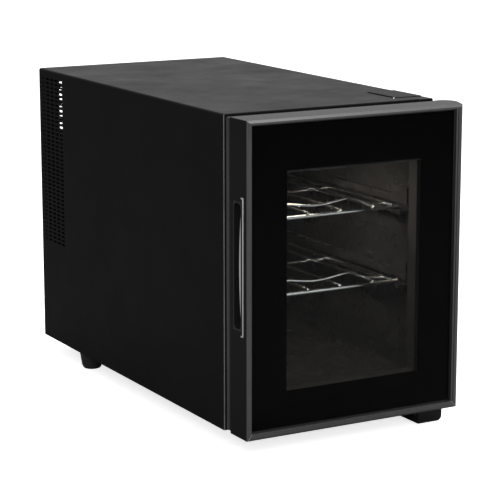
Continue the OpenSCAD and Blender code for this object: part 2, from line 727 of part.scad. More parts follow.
module module_gasket() placed() color("#3a3a3a") difference() {
    w = tec_w / 2 + 12;
    block([-w - 4, w + 4], [bulkhead_y, hot_base_y], [stack_z - w, stack_z + w]);
    block([-tec_w / 2 - 0.5, tec_w / 2 + 0.5], [bulkhead_y - 1, hot_base_y + 1],
        [stack_z - tec_w / 2 - 0.5, stack_z + tec_w / 2 + 0.5]);
    for (p = stack_holes) bar_y([p[0], bulkhead_y - 1, stack_z + p[1]], 2.3, 10);
}
module hot_sink() placed() color(alloy) difference() {
    translate([0, hot_base_y, stack_z]) heat_sink(hot_sink, sink_base + 1);
    for (p = stack_holes) bar_y([p[0], hot_base_y - 1, stack_z + p[1]], 1.7, sink_base + 3);
    for (p = fan_corners(hot_fan_w)) bar_y([p[0], hot_fins_y - 3, stack_z + p[1]], 1.7, 40);
}
module stack_screws() placed() color(steel)
    for (p = stack_holes) translate([p[0], cold_base_y - 1.8, stack_z + p[1]]) {
        bar_y([0, 0, 0], 4, 1.8);
        bar_y([0, 1.7, 0], 1.7, hot_fins_y - cold_base_y - 1);
    }

// A fan's four screw places, as [x, z] from its axis
function fan_corners(w) = [for (i = [-1, 1], j = [-1, 1]) [i * (w / 2 - 5), j * (w / 2 - 5)]];
// Square fan frame with a spider behind the rotor; the axis is y and the frame starts at y = 0
module fan_frame(w, d, hub_r) {
    bore_r = w / 2 - 2;
    difference() {
        face_plate([-w / 2, w / 2], [0, d], [-w / 2, w / 2], 4);
        bar_y([0, -1, 0], bore_r, d + 2);
        for (p = fan_corners(w)) bar_y([p[0], -1, p[1]], 2.1, d + 2);
    }
    bar_y([0, d - 3, 0], hub_r, 3);
    for (a = [0 : 90 : 270]) rotate([0, a + 20, 0])
        block([hub_r - 1, bore_r + 0.8], [d - 3, d], [-2, 2]);
    bar_y([0, 5, 0], fan_shaft_r, d - 5 - e);
}
// Rotor: a hub with a bore for the shaft and tilted blades
module fan_rotor(w, d, hub_r) {
    tip_r = w / 2 - 3.4;
    blade_d = d - 6.5;
    difference() {
        union() {
            bar_y([0, 2, 0], hub_r, d - 5.8);
            intersection() {
                for (a = [0 : fan_blades - 1]) rotate([0, a * 360 / fan_blades, 0])
                    translate([0, 2 + blade_d / 2, 0]) rotate([38, 0, 0])
                        block([hub_r - 2, w], [-blade_d, blade_d], [-0.8, 0.8]);
                difference() {
                    bar_y([0, 2, 0], tip_r, blade_d);
                    bar_y([0, 1, 0], hub_r - 1, blade_d + 2);
                }
            }
        }
        bar_y([0, 2 + 2, 0], fan_shaft_r + run_clear, d);
    }
}
module cold_fan_frame() placed() color(black) translate([0, cold_fan_y, stack_z])
    fan_frame(cold_fan_w, cold_fan_d, 11);
module cold_fan_rotor() placed() color(black) translate([0, cold_fan_y, stack_z])
    fan_rotor(cold_fan_w, cold_fan_d, 11);
module hot_fan_frame() placed() color(black) translate([0, hot_fan_y + hot_fan_d, stack_z])
    mirror([0, 1, 0]) fan_frame(hot_fan_w, hot_fan_d, 17);
module hot_fan_rotor() placed() color(black) translate([0, hot_fan_y + hot_fan_d, stack_z])
    mirror([0, 1, 0]) fan_rotor(hot_fan_w, hot_fan_d, 17);
module hot_fan_screws() placed() color(steel)
    for (p = fan_corners(hot_fan_w))
        translate([p[0], hot_fan_y + hot_fan_d, stack_z + p[1]]) rotate([-90, 0, 0])
            screw(3.4, 1.6, hot_fan_d + hot_sink[2] - 4);

// Cover over the cold sink and its fan, on the cabin's back wall
module air_cover() placed() color("#262627") {
    w = air_cover[0] / 2 + cover_t;
    h = air_cover[1] / 2 + cover_t;
    difference() {
        face_plate([-w, w], [air_front, liner_back], [stack_z - h, stack_z + h], 6);
        face_plate([-w + cover_t, w - cover_t], [air_front + cover_t, liner_back + 1],
            [stack_z - h + cover_t, stack_z + h - cover_t], 4);
        fan_openings(stack_z, cold_fan_w / 2 - 3, [air_front - 1, air_front + cover_t + 1]);
        for (i = [0 : 8], s = [-1, 1])
            face_plate([-54 + i * 12 - 3, -54 + i * 12 + 3], [air_front - 1, air_front + cover_t + 1],
                [stack_z + s * 51 - 8, stack_z + s * 51 + 8], 2.5);
    }
}

// Board in the rear compartment
board_x = [-half + 16, -half + 126];
board_y = [bulkhead_y + 8, rear_y - rear_skirt - 10];
module board_tray() placed() color(black) {
    difference() {
        block(board_x, board_y, [pan_top, pan_top + 14]);
        block([board_x[0] + 2, board_x[1] - 2], [board_y[0] + 2, board_y[1] - 2],
            [pan_top + 2, pan_top + 15]);
    }
    for (x = [board_x[0] + 8, board_x[1] - 8], y = [board_y[0] + 8, board_y[1] - 8])
        bar_z([x, y, pan_top + 1], 3, 5);
}
module power_board() placed() color("#1f6b3a") {
    z = pan_top + 6;
    x = board_x[0] + 3;
    y = board_y[0] + 3;
    w = board_x[1] - board_x[0] - 6;
    d = board_y[1] - board_y[0] - 6;
    block([x, x + w], [y, y + d], [z, z + 1.6]);
    // Transformer, two bulk capacitors, a heat spreader, a choke and the connectors
    block([x + 42, x + 68], [y + 14, y + 38], [z + 1.5, z + 24]);
    bar_z([x + 20, y + 16, z + 1.5], 8, 28);
    bar_z([x + 20, y + 40, z + 1.5], 6, 20);
    block([x + 78, x + 81], [y + 8, y + d - 8], [z + 1.5, z + 27]);
    difference() {
        bar_z([x + 55, y + 52, z + 1.5], 9, 8);
        bar_z([x + 55, y + 52, z + 1.7], 4, 9);
    }
    for (i = [0, 1]) block([x + 88, x + 98], [y + 12 + i * 24, y + 26 + i * 24], [z + 1.5, z + 11]);
}
inlet_x = 78;
inlet_z = base + 46;
// How far inside the cover the inlet's pins end
inlet_tip = 6;
module power_inlet() placed() color("#161616") {
    y = rear_y + rear_t;
    difference() {
        union() {
            face_plate([inlet_x - 17, inlet_x + 17], [y, cab_d], [inlet_z - 15, inlet_z + 15], 3);
            block([inlet_x - 13.8, inlet_x + 13.8], [y - 20, y + e], [inlet_z - 11.8, inlet_z + 11.8]);
        }
        block([inlet_x - 11.5, inlet_x + 11.5], [y - 15, cab_d + 1], [inlet_z - 8, inlet_z + 8]);
    }
    for (p = [[-7, 0], [0, 3], [7, 0]])
        block([inlet_x + p[0] - 1, inlet_x + p[0] + 1], [y - 15 - e, y - inlet_tip],
            [inlet_z + p[1] - 2, inlet_z + p[1] + 2]);
}
module wiring_harness() placed() color("#7d1f1f") {
    bx = board_x[1] - 14;
    hx = -hot_sink[0] / 2 - 12;
    wire([[inlet_x - 6, rear_y - 17, inlet_z], [inlet_x - 6, rear_y - 30, inlet_z],
        [bx + 20, rear_y - 30, pan_top + 30], [bx, board_y[0] + 22, pan_top + 24],
        [bx, board_y[0] + 22, pan_top + 17]], 2.2);
    wire([[bx, board_y[0] + 46, pan_top + 17], [bx, board_y[0] + 46, pan_top + 40],
        [hx, bulkhead_y + 14, stack_z - hot_sink[1] / 2 - 15], [hx, bulkhead_y + 2.4, stack_z - 10],
        [-tec_w / 2 - 16, bulkhead_y + 2.4, stack_z - 10]], 2.2);
}

// Control housing on the cabin's ceiling
module control_housing() placed() color("#29292a") {
    y = [control_y, control_y + control[1]];
    z = [control_bottom, cabin_hi];
    difference() {
        block([-control[0] / 2, control[0] / 2], y, z);
        block([-control[0] / 2 + cover_t, control[0] / 2 - cover_t], [y[0] + cover_t, y[1] - cover_t],
            [z[0] + cover_t, z[1] + 1]);
        // Lamp opening, knob shaft hole and rocker opening
        block([-lens[0] / 2, lens[0] / 2], [lens_y, lens_y + lens[1]], [z[0] - 1, z[0] + 5]);
        bar_y([knob_x, y[0] - 1, knob_z], 3.2, 5);
        block([switch_x - rocker[0] / 2 - 0.4, switch_x + rocker[0] / 2 + 0.4], [y[0] - 1, y[0] + 4],
            [knob_z - rocker[1] / 2 - 0.8, knob_z + rocker[1] / 2 + 0.8]);
    }
    // Bearings for the rocker's pins
    for (s = [-1, 1]) difference() {
        x = switch_x + s * (rocker[0] / 2 + 1.9);
        block([x - 1.4, x + 1.4], [y[0] + 1, y[0] + 9], [knob_z - 4, cabin_hi]);
        bar_x([x - 3, y[0] + 5, knob_z], 1.5 + run_clear, 6);
    }
}
lens_y = control_y + 16;
module lamp_lens() placed() color("#f3ead0", 0.8) {
    block([-lens[0] / 2 + 0.1, lens[0] / 2 - 0.1], [lens_y + 0.1, lens_y + lens[1] - 0.1],
        [control_bottom - lens[2], control_bottom + cover_t + e]);
    block([-lens[0] / 2 - 2, lens[0] / 2 + 2], [lens_y - 2, lens_y + lens[1] + 2],
        [control_bottom + cover_t, control_bottom + cover_t + 1]);
}
module led_board() placed() color("#e9e9e4") {
    z = cabin_hi - 1.2;
    block([-24, 24], [lens_y - 4, lens_y + lens[1] + 4], [z, cabin_hi]);
    for (i = [-1, 0, 1], j = [0, 1])
        block([i * 12 - 1.8, i * 12 + 1.8], [lens_y + 7 + j * 14, lens_y + 10 + j * 14], [z - 1, z + e]);
}
module thermostat_body() placed() color("#3d4a63") difference() {
    union() {
        block([knob_x - 8, knob_x + 8], [control_y + cover_t, control_y + cover_t + 12],
            [knob_z - 6.2, knob_z + 7.5]);
        bar_y([knob_x, control_y + 0.2, knob_z], 3, cover_t + 1);
        bar_y([knob_x, control_y - knob_l + 2, knob_z], 2, knob_l);
    }
}
module thermostat_knob() placed() color("#d0d0d0") {
    y = control_y - 0.4 - knob_l;
    difference() {
        union() {
            bar_y([knob_x, y, knob_z], knob_r, knob_l);
            for (a = [0 : 30 : 330]) translate([knob_x, y + 1, knob_z]) rotate([0, a, 0])
                bar_y([knob_r - 0.1, 0, 0], 0.7, knob_l - 1);
        }
        bar_y([knob_x, y + 2, knob_z], 2 + run_clear, knob_l);
        block([knob_x - 0.6, knob_x + 0.6], [y - 1, y + 0.6], [knob_z + 1.5, knob_z + knob_r + 1]);
    }
}
module light_switch_rocker() placed() color("#0f0f10") {
    c = [switch_x, control_y + 5, knob_z];
    difference() {
        translate([c[0] - rocker[0] / 2, c[1] - 6.5, c[2] - rocker[1] / 2 + 0.4])
            cube([rocker[0], 9, rocker[1] - 0.8]);
        // Two faces meet in a shallow valley at the middle
        for (s = [-1, 1]) translate([c[0] - rocker[0], c[1] - 5.4, c[2]]) rotate([-s * 8, 0, 0])
            translate([0, -6, s > 0 ? -20 : 0]) cube([2 * rocker[0], 6, 20]);
    }
    bar_x([c[0] - rocker[0] / 2 - 2.8, c[1], c[2]], 1.5, rocker[0] + 5.6);
}
module temperature_sensor() placed() color("#d8d8d8") {
    x = cabin_half - 4;
    z = cabin_hi - 40;
    bar_y([x, 180, z], 2.4, 26);
    for (y = [184, 196]) block([x - 1, cabin_half], [y, y + 4], [z - 3.4, z + 3.4]);
}

// Wire shelf for two bottles lying side by side
module wire_shelf(z) {
    bar_half = cabin_half - shelf_clear;
    outer = bar_half - wire_in;
    lift = bar_r + wire_r - 0.3;
    rear = shelf_y + shelf_d;
    for (y = [shelf_y, shelf_y + shelf_d / 2, rear]) bar_x([-bar_half, y, z], bar_r, 2 * bar_half);
    long = concat([-outer, outer],
        [for (s = [-1, 1], t = [-1, 1]) s * bottle_pitch / 2 + t * cradle_half]);
    for (x = long) bar_y([x, shelf_y - 3, z + lift], wire_r, shelf_d + 6);
    // Neck wire: a hump under each neck, a dip between them
    y = shelf_y + neck_y;
    m = bottle_pitch / 2;
    right = [[8, dip_h], [m - 5, hump_h], [m + 4, hump_h], [m + 26, lift - 1], [outer + 2.4, lift - 1]];
    wire(concat([for (i = [4 : -1 : 0]) [-right[i][0], y, z + right[i][1]]],
        [for (p = right) [p[0], y, z + p[1]]]), wire_r - 0.2);
    // Rear stop rail for the bottles' bases
    stop = outer - 4;
    wire([[-stop, rear, z], [-stop, rear, z + 16], [stop, rear, z + 16], [stop, rear, z]], wire_r - 0.1);
}
module upper_shelf() placed() color(chrome) wire_shelf(base + shelf_z[1]);
module lower_shelf() placed() color(chrome) wire_shelf(base + shelf_z[0]);

// Door
module door_section() {
    b = frame_bevel;
    polygon([[-door_half, -door_gap - 1], [-door_half, door_front + b], [-door_half + b, door_front],
        [door_half - b, door_front], [door_half, door_front + b], [door_half - 8, -door_gap],
        [-door_half + 1, -door_gap]]);
    translate([-door_half + 1, -door_gap - 1]) circle(1);
    hinge_side();
}
// The same bevels seen from the side, to bevel the top and bottom edges too
module door_profile() {
    b = frame_bevel;
    polygon([[0, door_lo], [0, door_hi], [door_front + b, door_hi], [door_front, door_hi - b],
        [door_front, door_lo + b], [door_front + b, door_lo]]);
}
module door_frame() placed() color("#3a3a3b") difference() {
    intersection() {
        translate([0, 0, door_lo]) linear_extrude(door_hi - door_lo) door_section();
        translate([-door_half - 1, 0, 0]) rotate([90, 0, 90]) linear_extrude(2 * door_half + 30)
            door_profile();
    }
    // Opening in front of the glass, rebate for the glass, and the inside
    block([-door_half + frame_lip, door_half - stile_lip], [door_front - 1, pane_y + e],
        [door_lo + rail_lip, door_hi - frame_lip]);
    block([door_half - stile_lip + groove_in, door_half - stile_lip + groove_in + stile_groove[0]],
        [door_front - 1, door_front + stile_groove[1]], [door_lo + rail_lip, door_hi - frame_lip]);
    block([-frame_in, frame_in], [pane_y, spacer_y], [door_lo + frame_wall, door_hi - frame_wall]);
    block([-frame_in, stile_in], [pane_y, 1], [door_lo + frame_wall, door_hi - frame_wall]);
    // Slot for the upper hinge's tongue
    translate([hinge_x, hinge_y, tongue_lo - tongue_clear]) linear_extrude(plate_t + 2 * tongue_clear)
        tongue_sweep();
    // Bush seats and the upper pin's way
    bar_z([hinge_x, hinge_y, door_lo - 1], bush_r, pin_l + 2);
    bar_z([hinge_x, hinge_y, tongue_lo - tongue_clear - pin_l - 1], bush_r, pin_l + 2);
    // Pocket opening and the strip's groove in the left side
    block([-door_half - 1, -frame_in + 1], [pocket_front - pocket_t, -pocket_y + pocket_t],
        [pocket_z[0] - pocket_t, pocket_z[1] + pocket_t]);
    strip_shape(0);
}
// Thin bevelled glass edge: the pane is a plain sheet with rounded corners
module door_glass() placed() color("#0d0d0e", 0.6)
    face_plate([-frame_in + 0.2, frame_in - 0.2], [pane_y, print_y],
        [door_lo + frame_wall + 0.2, door_hi - frame_wall - 0.2], 1.5);
module glass_print() placed() color("#0b0b0c") difference() {
    face_plate([-frame_in + 0.2, frame_in - 0.2], [print_y, spacer_y],
        [door_lo + frame_wall + 0.2, door_hi - frame_wall - 0.2], 1.5);
    block([-door_half + print_side, door_half - print_side], [print_y - 1, spacer_y + 1],
        [door_lo + print_bottom, door_hi - print_top]);
}
// Outline of the inner pane: it overlaps the back opening by this much
pane_lap = 13;
pane_x = door_half - back_side + pane_lap;
pane_z = [door_lo + back_bottom - pane_lap, door_hi - back_top + pane_lap];
module pane_spacer() placed() color(alloy) difference() {
    face_plate([-pane_x + 3, pane_x - 3], [spacer_y, inner_y], [pane_z[0] + 3, pane_z[1] - 3], 1.5);
    block([-pane_x + 3 + spacer_w, pane_x - 3 - spacer_w], [spacer_y - 1, inner_y + 1],
        [pane_z[0] + 3 + spacer_w, pane_z[1] - 3 - spacer_w]);
}
module inner_glass() placed() color("#aab4b4", 0.3)
    face_plate([-pane_x, pane_x], [inner_y, inner_back], pane_z, 1.5);
module door_foam() placed() color("#d9cfa6") difference() {
    block([-frame_in + 0.2, stile_in - 0.2], [spacer_y, -door_gap],
        [door_lo + frame_wall + 0.2, door_hi - frame_wall - 0.2]);
    block([-pane_x - 0.3, pane_x + 0.3], [spacer_y - 1, 0], [pane_z[0] - 0.3, pane_z[1] + 0.3]);
    block([-door_half, -door_half + pocket_d + pocket_t + 0.3],
        [pocket_front - pocket_t - 0.3, -pocket_y + pocket_t + 0.3],
        [pocket_z[0] - pocket_t - 0.3, pocket_z[1] + pocket_t + 0.3]);
    for (p = plate_screws) bar_y([p[0], -door_gap - 9, p[1]], 2.2, 10);
}
back_x = [-door_half + 1, stile_in - 0.2];
back_z = [door_lo + 1, door_hi - 1];
plate_screws = [for (x = [back_x[0] + 7, back_x[1] - 5], z = [back_z[0] + 9, back_z[1] - 9]) [x, z]];
module door_back_plate() placed() color("#252526") difference() {
    union() {
        face_plate(back_x, [-door_gap, -door_gap + back_t], back_z, 2);
        block([-pane_x - 0.1, pane_x + 0.1], [inner_back, -door_gap + e],
            [pane_z[0] - 0.1, pane_z[1] + 0.1]);
    }
    face_plate([-door_half + back_side, door_half - back_side], [inner_back - 1, 0],
        [door_lo + back_bottom, door_hi - back_top], 3);
    // Hollow behind the seal's land, between its inner wall and the foam
    difference() {
        block([-pane_x + 2, pane_x - 2], [inner_back - 1, -door_gap], [pane_z[0] + 2, pane_z[1] - 2]);
        face_plate([-door_half + back_side - 2.5, door_half - back_side + 2.5],
            [inner_back - 2, 0], [door_lo + back_bottom - 2.5, door_hi - back_top + 2.5], 4);
    }
    for (p = plate_screws) bar_y([p[0], -door_gap - 1, p[1]], 1.8, back_t + 2);
}
module back_plate_screws() placed() color(steel)
    for (p = plate_screws) translate([p[0], -door_gap + back_t, p[1]]) rotate([-90, 0, 0])
        screw(3, 1.5, 10);
module door_seal() placed() color("#1d1d1e") {
    x = cabin_half + seal_inset;
    lo = cabin_lo - seal_inset;
    hi = cabin_hi + seal_inset;
    difference() {
        face_plate([-x - seal_w, x + seal_w], [-door_gap + back_t, -seal_clear],
            [lo - seal_w, hi + seal_w], 5);
        face_plate([-x, x], [-door_gap, 1], [lo, hi], 3);
        // The bellows' waist
        difference() {
            face_plate([-x - seal_w - 2, x + seal_w + 2], [-door_gap + back_t + 3, -seal_clear - 4],
                [lo - seal_w - 2, hi + seal_w + 2], 5);
            face_plate([-x - seal_w + 2.5, x + seal_w - 2.5], [-door_gap, 1],
                [lo - seal_w + 2.5, hi + seal_w - 2.5], 4);
        }
    }
}

// Handle on the door's left side
module handle_pocket() placed() color("#19191a") difference() {
    block([-door_half, -door_half + pocket_d + pocket_t], [pocket_front - pocket_t, -pocket_y + pocket_t],
        [pocket_z[0] - pocket_t, pocket_z[1] + pocket_t]);
    // Rounded-end cavity, open to the left
    translate([-door_half - 1, 0, 0]) rotate([90, 0, 90]) linear_extrude(pocket_d + 1)
        translate([-pocket_y - pocket_w / 2, base + pocket_mid]) round_rect(pocket_w, pocket_h, 5);
}
module handle_grip() placed() color(chrome) {
    // A lens seen from the side: straight against the pocket's wall, bowed towards the pocket
    a = pocket_h / 2 - 6;
    r = (pow(a, 2) + pow(grip_bow, 2)) / (2 * grip_bow);
    n = 24;
    arc = [for (i = [0 : n]) let (z = a - 2 * a * i / n)
        [pocket_front + grip_bow - r + sqrt(r * r - z * z), base + pocket_mid + z]];
    translate([-door_half + 0.4, 0, 0]) rotate([90, 0, 90]) linear_extrude(8.6) polygon(arc);
}
// The strip and its turned-back ends, larger by d
module strip_shape(d) {
    x = [-door_half - strip_proud - d, -door_half + strip_sunk + d];
    block(x, [strip_y - d, strip_y + strip[0] + d], [strip_z[0] - d, strip_z[1] + d]);
    block(x, [strip_y - d, strip_y + strip[0] + strip_hook + d], [strip_z[1] - strip[0], strip_z[1] + d]);
    block(x, [strip_y - d, strip_y + strip[0] + strip_hook + d], [strip_z[0] - d, strip_z[0] + strip[0]]);
}
module handle_strip() placed() color(chrome) strip_shape(0);

module upper_hinge_bush() placed() color("#e4e2da") difference() {
    bar_z([hinge_x, hinge_y, tongue_lo - tongue_clear - pin_l - 1], bush_r, pin_l + 1);
    bar_z([hinge_x, hinge_y, tongue_lo - tongue_clear - pin_l - 2], pin_r + run_clear, pin_l + 4);
}
module lower_hinge_bush() placed() color("#e4e2da") difference() {
    bar_z([hinge_x, hinge_y, door_lo], bush_r, pin_l + 1);
    bar_z([hinge_x, hinge_y, door_lo - 1], pin_r + run_clear, pin_l + 4);
}

outer_wrap();
left_vent_grille();
right_vent_grille();
base_pan();
rear_cover();
rear_cover_screws();
front_collar();
cabin_liner();
insulation_foam();
rear_bulkhead();
upper_hinge();
upper_hinge_screws();
hinge_cover();
lower_hinge();
lower_hinge_foot();
lower_hinge_screws();
hinge_washer();
rear_left_foot();
rear_right_foot();
front_left_foot();
foot_screws();
cold_sink();
cold_block();
thermoelectric_module();
module_gasket();
hot_sink();
stack_screws();
cold_fan_frame();
cold_fan_rotor();
hot_fan_frame();
hot_fan_rotor();
hot_fan_screws();
air_cover();
board_tray();
power_board();
power_inlet();
wiring_harness();
control_housing();
lamp_lens();
led_board();
thermostat_body();
thermostat_knob();
light_switch_rocker();
temperature_sensor();
upper_shelf();
lower_shelf();
door_frame();
door_glass();
glass_print();
pane_spacer();
inner_glass();
door_foam();
door_back_plate();
door_seal();
handle_pocket();
handle_grip();
handle_strip();
upper_hinge_bush();
lower_hinge_bush();
back_plate_screws();
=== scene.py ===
"""Finishes and fine pieces of a countertop wine cooler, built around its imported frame."""

import math

import bmesh
import bpy
from bpy.props import FloatProperty, FloatVectorProperty, IntProperty, PointerProperty
from mathutils import Matrix, Vector


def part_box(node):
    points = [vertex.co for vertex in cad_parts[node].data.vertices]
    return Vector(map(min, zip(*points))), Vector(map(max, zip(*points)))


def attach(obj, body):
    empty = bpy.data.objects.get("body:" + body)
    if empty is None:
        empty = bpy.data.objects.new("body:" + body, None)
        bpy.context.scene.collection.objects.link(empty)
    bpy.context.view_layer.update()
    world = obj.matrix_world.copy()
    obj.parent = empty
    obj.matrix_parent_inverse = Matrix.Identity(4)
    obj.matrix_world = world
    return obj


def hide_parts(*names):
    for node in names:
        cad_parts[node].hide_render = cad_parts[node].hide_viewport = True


bl_info = {
    "name": "Countertop Wine Cooler",
    "version": (1, 0, 0),
    "blender": (4, 5, 0),
    "location": "3D View > Sidebar > Wine Cooler",
    "description": "Finishes, wire shelves, feet, door trim and studio of a small wine cooler",
    "category": "Object",
}

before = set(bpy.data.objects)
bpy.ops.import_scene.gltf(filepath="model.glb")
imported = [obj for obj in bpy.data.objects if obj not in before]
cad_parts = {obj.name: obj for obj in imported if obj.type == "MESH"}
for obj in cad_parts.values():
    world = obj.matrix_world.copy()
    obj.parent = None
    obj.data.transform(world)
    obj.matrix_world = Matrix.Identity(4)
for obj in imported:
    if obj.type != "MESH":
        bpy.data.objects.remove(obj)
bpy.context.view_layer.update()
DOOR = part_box("door_frame")
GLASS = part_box("door_glass")
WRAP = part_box("outer_wrap")

# Widths of the door frame's front edge: left and top, hinge side, bottom
THIN_LIP, HINGE_LIP, LOW_LIP = 0.0045, 0.009, 0.008
# How far the frame's inner return lies inside the glass's edge
RETURN_IN = 0.0026


# ---------------------------------------------------------------- settings


class CabinetSettings(bpy.types.PropertyGroup):
    paint: FloatVectorProperty(
        name="Paint", description="Colour of the painted steel", subtype="COLOR", size=3,
        min=0.0, max=1.0, default=(0.0075, 0.0074, 0.0074))
    paint_roughness: FloatProperty(
        name="Paint roughness", description="How satin the paint is", subtype="FACTOR",
        min=0.0, max=1.0, default=0.42)
    plastic: FloatVectorProperty(
        name="Plastic", description="Colour of the black mouldings", subtype="COLOR", size=3,
        min=0.0, max=1.0, default=(0.011, 0.011, 0.0115))
    liner: FloatVectorProperty(
        name="Liner", description="Colour of the cabin's liner", subtype="COLOR", size=3,
        min=0.0, max=1.0, default=(0.009, 0.009, 0.0095))


class DoorSettings(bpy.types.PropertyGroup):
    metal: FloatVectorProperty(
        name="Frame metal", description="Colour of the door's frame", subtype="COLOR", size=3,
        min=0.0, max=1.0, default=(0.0085, 0.0085, 0.0086))
    trim: FloatVectorProperty(
        name="Trim metal", description="Colour of the frame's front edges", subtype="COLOR", size=3,
        min=0.0, max=1.0, default=(0.135, 0.135, 0.137))
    tint: FloatVectorProperty(
        name="Glass tint", description="Colour that the outer pane passes", subtype="COLOR", size=3,
        min=0.0, max=1.0, default=(0.80, 0.81, 0.82))
    bead: FloatProperty(
        name="Glazing bead", description="Width of the black bead between frame and glass",
        unit="LENGTH", min=0.0005, max=0.003, default=0.0014)
    grip_depth: FloatProperty(
        name="Grip depth", description="How deep the bright grip reaches into the pocket",
        unit="LENGTH", min=0.004, max=0.012, default=0.0086)


class ShelfSettings(bpy.types.PropertyGroup):
    cross_bar: FloatProperty(
        name="Cross bar radius", description="Radius of a shelf's cross bars",
        unit="LENGTH", min=0.001, max=0.003, default=0.002)
    long_wire: FloatProperty(
        name="Long wire radius", description="Radius of the wires that the bottles lie on",
        unit="LENGTH", min=0.0008, max=0.0025, default=0.0016)
    pitch: FloatProperty(
        name="Bottle pitch", description="Distance between two bottles on a shelf",
        unit="LENGTH", min=0.07, max=0.09, default=0.083)
    cradle: FloatProperty(
        name="Cradle", description="Half the distance between the two wires under a bottle",
        unit="LENGTH", min=0.015, max=0.026, default=0.021)
    outer_in: FloatProperty(
        name="Outer wire", description="Distance of the outer wire from the cross bars' ends",
        unit="LENGTH", min=0.008, max=0.016, default=0.0103)
    neck_back: FloatProperty(
        name="Neck wire", description="Distance of the wavy neck wire from the front bar",
        unit="LENGTH", min=0.01, max=0.04, default=0.015)
    hump: FloatProperty(
        name="Hump", description="Height of the neck wire's humps above the front bar",
        unit="LENGTH", min=0.008, max=0.016, default=0.0116)
    dip: FloatProperty(
        name="Dip", description="Height of the neck wire between the humps",
        unit="LENGTH", min=0.004, max=0.012, default=0.0076)
    chrome: FloatVectorProperty(
        name="Chrome", description="Colour of the plated wires", subtype="COLOR", size=3,
        min=0.0, max=1.0, default=(0.86, 0.86, 0.87))


class FootSettings(bpy.types.PropertyGroup):
    ribs: IntProperty(name="Ribs", description="Ribs around a foot", min=8, max=48, default=22)
    rib_height: FloatProperty(
        name="Rib height", description="How far a rib stands out", unit="LENGTH",
        min=0.0001, max=0.001, default=0.0005)
    rubber: FloatVectorProperty(
        name="Foot", description="Colour of the feet", subtype="COLOR", size=3,
        min=0.0, max=1.0, default=(0.022, 0.022, 0.023))


class StudioSettings(bpy.types.PropertyGroup):
    floor: FloatVectorProperty(
        name="Floor", description="Colour of the studio floor", subtype="COLOR", size=3,
        min=0.0, max=1.0, default=(0.93, 0.93, 0.93))
    shade: FloatProperty(
        name="Shade", description="Brightness of the studio on its dark side", subtype="FACTOR",
        min=0.0, max=1.0, default=0.15)
    azimuth: FloatProperty(
        name="Azimuth", description="Where the camera stands, from the door's normal",
        subtype="ANGLE", default=math.radians(29.37))
    elevation: FloatProperty(
        name="Elevation", description="How far the camera looks down",
        subtype="ANGLE", default=math.radians(11.89))
    distance: FloatProperty(
        name="Distance", description="From the camera to its aim", unit="LENGTH", default=2.28)
    lens: FloatProperty(name="Lens", description="Focal length", unit="CAMERA", default=140.15)
    aim: FloatVectorProperty(
        name="Aim", description="Point that the camera looks at", subtype="TRANSLATION",
        unit="LENGTH", size=3, default=(0.0154, 0.0, 0.1613))


# ---------------------------------------------------------------- finishes


